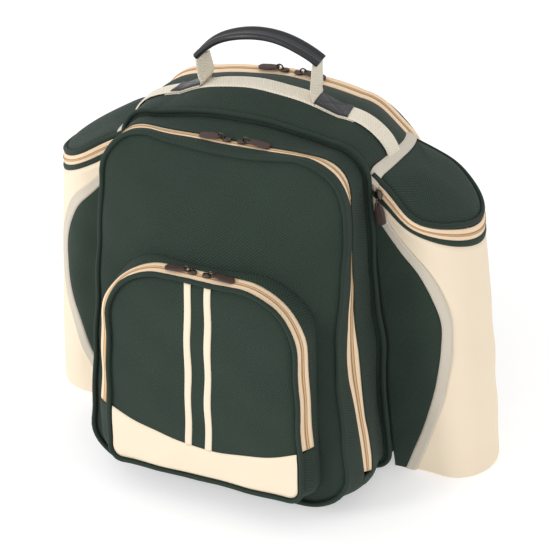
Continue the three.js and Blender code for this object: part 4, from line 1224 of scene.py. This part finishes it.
def patch(name, side):
    """A leather patch with rounded edges, and the thread of its border and its cross."""
    start, end = over_x(patch_start), over_x(patch_start + patch_length)
    u = np.linspace(start, end, 30)[:, None] * side
    s = (u * side - start) / (end - start)
    y = set_back + patch_width * across[None]
    edge_soft = np.minimum(np.sqrt(np.clip(1 - np.abs(2 * s - 1) ** 14, 0, 1)), rounded[None])
    border = np.maximum(np.abs(2 * s - 1), np.abs(2 * across)[None])
    channel = -0.5 * np.exp(-((border - 0.78) / 0.05) ** 2)
    for sign in (-1, 1):
        line = (2 * s - 1) - sign * 2 * across[None]
        channel = channel - 0.5 * np.exp(-(line / 0.09) ** 2) * (border < 0.78)
    upper_face = on_top(u, y, patch_layer + 1.8 * (0.3 + 0.7 * edge_soft) + channel)
    lower_face = on_top(u, y, patch_layer + 0 * y)
    surface(f"{name}_sewn_patch", np.concatenate([upper_face, lower_face[:, ::-1]], 1), black_leather,
            "black_leather", [f"{name}_patch"])


for name, side in (("left", -1), ("right", 1)):
    handle_leg(name, side)
    patch(name, side)

# %% The leather grip
grip_rise, grip_width, grip_bead, grip_web = 27.0, 22.0, 3.6, 3.0
end_x = half_span + splay + 1.8
grip_radius = (end_x ** 2 + grip_rise ** 2) / (2 * grip_rise)
sweep = math.asin(end_x / grip_radius)
end_z = base_height + sum(leg_heights.values()) / 2 + grip_bead - 0.9
tilt = math.atan2(leg_heights["right"] - leg_heights["left"], 2 * end_x)

angle = np.linspace(-1, 1, 61)[:, None] * sweep
y = np.sin(np.linspace(-np.pi / 2, np.pi / 2, 33)) * grip_width / 2
bead_at = grip_width / 2 - grip_bead
bead = np.sqrt(np.clip(grip_bead ** 2 - (np.abs(y) - bead_at) ** 2, 0, None))
thick = np.where(np.abs(y) < bead_at, np.maximum(bead, grip_web / 2), bead)
height = np.concatenate([thick, -thick[1:-1][::-1]])[None]
wide = np.concatenate([y, y[1:-1][::-1]])[None]
along_x = np.sin(angle) * (grip_radius + height)
along_z = grip_rise - grip_radius + np.cos(angle) * (grip_radius + height)
grip = np.stack([
    along_x * math.cos(tilt) - along_z * math.sin(tilt),
    set_back + wide + 0 * angle,
    end_z + along_x * math.sin(tilt) + along_z * math.cos(tilt),
], -1)
surface("leather_grip", grip, black_leather, "black_leather", ["handle_grip"])

# %% [markdown]
# ## Zip pulls
# Each slider is a casting with a bridge, a wire ring through the bridge, and a leather tab on the
# ring. They are made once, lying along x, and placed by turning their points.

# %% Shapes of the pull


def pull_slider():
    """The slider's body: a lens in plan, with a raised bridge along its middle."""
    t = np.linspace(0, 1, 17)[:, None]
    half = 3.5 * (0.55 + 0.45 * np.sin(np.pi * t) ** 0.5)
    angle = np.linspace(0, 2 * np.pi, 20, endpoint=False)[None]
    y = half * np.sign(np.cos(angle)) * np.abs(np.cos(angle)) ** 0.6
    z = 1.4 + 1.4 * np.sign(np.sin(angle)) * np.abs(np.sin(angle)) ** 0.6
    z = z + 0.9 * np.exp(-(y / 1.4) ** 2) * (z > 1.4) * np.sin(np.pi * t)
    return np.stack([(t - 0.5) * 9 + 0 * y, y + 0 * t, z], -1)


def pull_ring():
    """A wire ring that stands in the bridge."""
    angle = 2 * np.pi * np.arange(28) / 28
    path = np.stack([5.7 + 3.6 * np.cos(angle), 0 * angle, 4.4 + 3.6 * np.sin(angle)], 1)
    return tube(path, 0.85, 10)


def pull_tab():
    """A leather tab, round at its free end and narrower where it holds the ring, with a bead of
    stitching pressed round it."""
    length, half = 25.0, 4.9
    t = np.linspace(0, 1, 34)[:, None]
    x = -3 + length * (1 - np.cos(np.pi * t)) / 2
    u = (x + 3) / length
    body = half * (0.66 + 0.34 * smooth(u / 0.5))
    round_end = np.sqrt(np.clip(1 - ((x - (length - 3 - half)) / half).clip(0) ** 2, 0.0004, 1))
    round_start = np.sqrt(np.clip(1 - (1 - u / 0.07).clip(0) ** 2, 0.0004, 1))
    wide = body * round_end * round_start
    s = np.linspace(-1, 1, 15)[None]
    y = wide * s
    edge_soft = np.sqrt(np.clip(1 - np.abs(s) ** 6, 0, 1))
    groove = -0.22 * np.exp(-((np.abs(s) - 0.74) / 0.1) ** 2)
    top = 0.95 * edge_soft + groove + 0.15
    fall = 0.13 * (x + 3)
    upper_face = np.stack([x + 0 * s, y, top - fall + 0 * x], -1)
    lower_face = np.stack([x + 0 * s, y, -0.95 * edge_soft - fall + 0 * x], -1)
    return np.concatenate([upper_face, lower_face[:, ::-1]], 1) + [9.3, 0, 4.4]


slider_grid, ring_grid, tab_grid = pull_slider(), pull_ring(), pull_tab()


def settled_at(point):
    """Where a single place ends up once the cloth has settled."""
    return settle(np.asarray(point, float)[None, None])[0, 0]


def pull(name, at, along, upwards, lift=1.0, size=1.0):
    """Places one slider, ring and tab on a zip."""
    along, upwards = np.asarray(along, float), np.asarray(upwards, float)
    along = along / np.linalg.norm(along)
    side = np.cross(upwards, along)
    side /= np.linalg.norm(side)
    upwards = np.cross(along, side)
    basis = np.stack([along, side, upwards]) * size
    at = settled_at(at) + upwards * lift
    parts = []
    for grid, looped in ((slider_grid, False), (ring_grid, True)):
        surface("", grid @ basis + at, bronze, "bronze", looped=looped, settled=False, collect=parts)
    finish_joined(f"{name}_cast_slider", parts, bronze, [f"{name}_slider"])
    surface(f"{name}_leather_tab", tab_grid @ basis + at, brown_leather, "brown_leather", [f"{name}_tab"],
            settled=False)


# %% Place the pulls


def crest(face, seat, share, x):
    """A place on the top of a pocket's wall."""
    s = mix(face, seat, share)
    z = s["top"] + s["crown"] * (1 - (x / top_centre(s)) ** 2)
    return np.array([x, s["y"] + s["lean"] * z, z])


def pair(name, middle, spot, upwards=(0, -0.15, 1.0)):
    """Two pulls head to head, each tab lying away from the other."""
    for side, word in ((-1, "left"), (1, "right")):
        near = spot(middle + side * 8)
        far = spot(middle + side * 33)
        pull(f"{name}_{word}", near, far - near, upwards)


top_share = 10.0 / float(pocket_depth[np.argmax(pocket_z)])
pull_seat = {**pocket_seat, "y": pocket_seat["y"] - 20}
pair("front_pocket", -3, lambda x: crest(pocket_face, pull_seat, top_share, x))
pair("plate_pocket", 6, lambda x: crest(plate_face, plate_seat, plate_middle, x))
pair("body", 7, lambda x: crest(body_rear, back_seam, 0.4, x))
for name, side in (("left", -1), ("right", 1)):
    out = 10.0
    height = float(lid_level(hinge_x + out)) - lid_zip_width / 2
    at = bottle_settle(bottle_front(np.array(out), np.array(height), np.array(1.5), side))
    pull(f"{name}_pocket", at, (side * 0.08, 0, -1), (0, -1, 0), size=1.15)

# %% [markdown]
# ## Padded back
# The back panel and the shoulder straps are canvas over foam. Padding is blown up with a cloth
# simulation: a closed form of even squares, a little pressure inside, no gravity, and a limit on how
# far a point may move. What comes out has the soft crown and drawn-in edges of a sewn pad.

# %% Padding by simulation
pad_frames, pad_pressure, pad_voxel = 18, 3.0, 5.0


def stuff(piece, limit):
    """Blows a closed piece up a little, as stuffing does, and smooths it once."""
    bpy.context.view_layer.objects.active = piece
    remesh = piece.modifiers.new("even_squares", "REMESH")
    remesh.mode = "VOXEL"
    remesh.voxel_size = pad_voxel * MM
    bpy.ops.object.modifier_apply(modifier=remesh.name)
    before = np.empty(len(piece.data.vertices) * 3)
    piece.data.vertices.foreach_get("co", before)
    cloth = piece.modifiers.new("stuffing", "CLOTH")
    cloth.settings.use_pressure = True
    cloth.settings.uniform_pressure_force = pad_pressure
    cloth.settings.effector_weights.gravity = 0
    for number in range(1, pad_frames + 1):
        scene.frame_set(number)
    bpy.ops.object.modifier_apply(modifier=cloth.name)
    scene.frame_set(1)
    after = np.empty(len(before))
    piece.data.vertices.foreach_get("co", after)
    moved = (after - before).reshape(-1, 3)
    length = np.linalg.norm(moved, axis=1, keepdims=True)
    moved *= np.minimum(1, limit * MM / np.maximum(length, 1e-9))
    piece.data.vertices.foreach_set("co", (before.reshape(-1, 3) + moved).ravel())
    cover(piece)
    soften = piece.modifiers.new("soft_faces", "SUBSURF")
    soften.levels = soften.render_levels = 1
    bpy.ops.object.modifier_apply(modifier=soften.name)
    piece.data.polygons.foreach_set("use_smooth", np.ones(len(piece.data.polygons), bool))
    piece.data.update()
    print(piece.name, "squares:", len(piece.data.polygons), "size:", [round(v, 3) for v in piece.dimensions])
    return piece


def cover(piece):
    """Maps the canvas onto a pad from behind: across it and up it, in metres."""
    mesh = piece.data
    for layer in list(mesh.uv_layers):
        mesh.uv_layers.remove(layer)
    places = np.empty(len(mesh.vertices) * 3)
    mesh.vertices.foreach_get("co", places)
    corner_vertex = np.empty(len(mesh.loops), int)
    mesh.loops.foreach_get("vertex_index", corner_vertex)
    chart = places.reshape(-1, 3)[corner_vertex][:, [0, 2]]
    mesh.uv_layers.new(name="cloth").data.foreach_set("uv", chart.astype(np.float32).ravel())


pad_rows = np.concatenate([
    np.stack([ring(shrink(shift(back_seam, 0.4), by)) for by in (30, 6, 2)]),
    ring(shrink(shift(back_face, -4.0), 1))[None],
    np.stack([ring(shrink(shift(back_face, -0.8), by)) for by in (4, 30)]),
])
pad = surface("padded_back_panel", pad_rows, green_canvas, "green_canvas", ["back_panel"])
stuff(pad, 3.0)

# %% Shoulder straps
strap_rows = np.array([
    [0.0, -0.04, 0.0],
    [0.07, 0.55, 0.02],
    [0.25, 0.93, 0.12],
    [0.5, 1.0, 0.35],
    [0.8, 0.86, 0.75],
    [1.0, 0.7, 1.0],
])
strap_top, strap_foot, strap_reach = 346.0, 122.0, 46.0
strap_width, strap_wall = 54.0, 9.0


def back_at(z):
    """Where the back panel's face is at a height."""
    return back_face["y"] + back_face["lean"] * z


def ribbon(path, width, wall, sides):
    """A strap along a path: at each place an oval across x, with flat faces."""
    along = np.gradient(path, axis=0)
    along /= np.linalg.norm(along, axis=1, keepdims=True)
    across_strap = np.array([1.0, 0, 0]) - along * along[:, :1]
    across_strap /= np.linalg.norm(across_strap, axis=1, keepdims=True)
    out = np.cross(across_strap, along)
    angle = 2 * np.pi * np.arange(sides) / sides
    a = np.sign(np.cos(angle)) * np.abs(np.cos(angle)) ** 0.35 * width / 2
    b = np.sign(np.sin(angle)) * np.abs(np.sin(angle)) ** 0.5 * wall / 2
    return path[:, None] + a[None, :, None] * across_strap[:, None] + b[None, :, None] * out[:, None]


for name, side in (("left", -1), ("right", 1)):
    z = strap_top + (strap_foot - strap_top) * strap_rows[:, 0]
    x = side * (56 + 44 * strap_rows[:, 2])
    points = np.stack([x, back_at(z) + 5.8 + strap_rows[:, 1] * strap_reach, z], 1)
    path = through(points, 50)
    strap = surface(f"{name}_padded_strap", ribbon(path, strap_width, strap_wall, 28), green_canvas,
                    "green_canvas", [f"{name}_shoulder_strap"])
    stuff(strap, 2.0)
    direction = (path[-1] - path[-2]) / np.linalg.norm(path[-1] - path[-2])
    start = path[-1] + direction * 1.2
    foot = np.array([side * 128, back_at(26) + 2.7, 26.0])
    tail = through(np.stack([start, (start + foot) / 2 + [0, 2, 0], foot]), 40)
    surface(f"{name}_webbing_tail", ribbon(tail, 25, 2.2, 20), cream_webbing, "cream_webbing",
            [f"{name}_strap_tail"])

# %% [markdown]
# ## Stitching
# Rows of small stitches hold the tapes and patches down. Each stitch is a short spindle with a few
# faces, laid along its seam.

# %% Stitches


def stitch_row(path, step, length, thick, parts, normal):
    """Spindles along a path. The path is measured, places are taken a step apart, and each spindle
    lies between two of them."""
    path = np.asarray(path, float)
    measure = np.concatenate([[0], np.cumsum(np.linalg.norm(np.diff(path, axis=0), axis=1))])
    places = np.arange(step / 2, measure[-1] - length, step)
    a = np.stack([np.interp(places, measure, path[:, k]) for k in range(3)], 1)
    b = np.stack([np.interp(places + length, measure, path[:, k]) for k in range(3)], 1)
    along = b - a
    side = np.cross(along, normal)
    side /= np.linalg.norm(side, axis=1, keepdims=True)
    lift = np.cross(side, along)
    lift /= np.linalg.norm(lift, axis=1, keepdims=True)
    middle = (a + b) / 2
    corners = np.stack([a, middle + side * thick, middle + lift * thick, middle - side * thick,
                        middle - lift * thick, b], 1)
    pattern = np.array([[0, 2, 1], [0, 3, 2], [0, 4, 3], [0, 1, 4],
                        [5, 1, 2], [5, 2, 3], [5, 3, 4], [5, 4, 1]])
    faces = (pattern[None] + 6 * np.arange(len(a))[:, None, None]).reshape(-1, 3)
    vertices = (settle(corners) + maker_step).reshape(-1, 3) * MM
    parts.append((vertices, faces.tolist(), np.zeros((faces.size, 2))))


for name, side in (("left", -1), ("right", 1)):
    curve, far = leaf_curves[name]
    parts = []
    for share in (0.16, 0.84):
        line = curve + (far - curve) * share
        row = bottle_settle(bottle_front(line[:, 0], line[:, 1], np.full(len(line), 2.3), side))
        stitch_row(row, 4.2, 2.9, 0.28, parts, (0, 1.0, 0))
    finish_joined(f"{name}_leaf_tape_stitches", parts, cream_thread)

    parts = []
    start, end = over_x(patch_start), over_x(patch_start + patch_length)
    edges = [(0.11, -0.39), (0.89, -0.39), (0.89, 0.39), (0.11, 0.39), (0.11, -0.39)]
    edges += [(0.89, 0.39), (0.89, -0.39), (0.11, 0.39)]
    for (s1, v1), (s2, v2) in zip(edges[:-1], edges[1:]):
        t = np.linspace(0, 1, 12)
        u = side * (start + (end - start) * (s1 + (s2 - s1) * t))
        v = set_back + patch_width * (v1 + (v2 - v1) * t)
        stitch_row(on_top(u, v, patch_layer + 1.55), 3.2, 2.4, 0.25, parts, (0, 0, 1.0))
    finish_joined(f"{name}_patch_stitches", parts, grey_thread)

# %% [markdown]
# ## Finish

# %% Finish
bpy.context.view_layer.update()
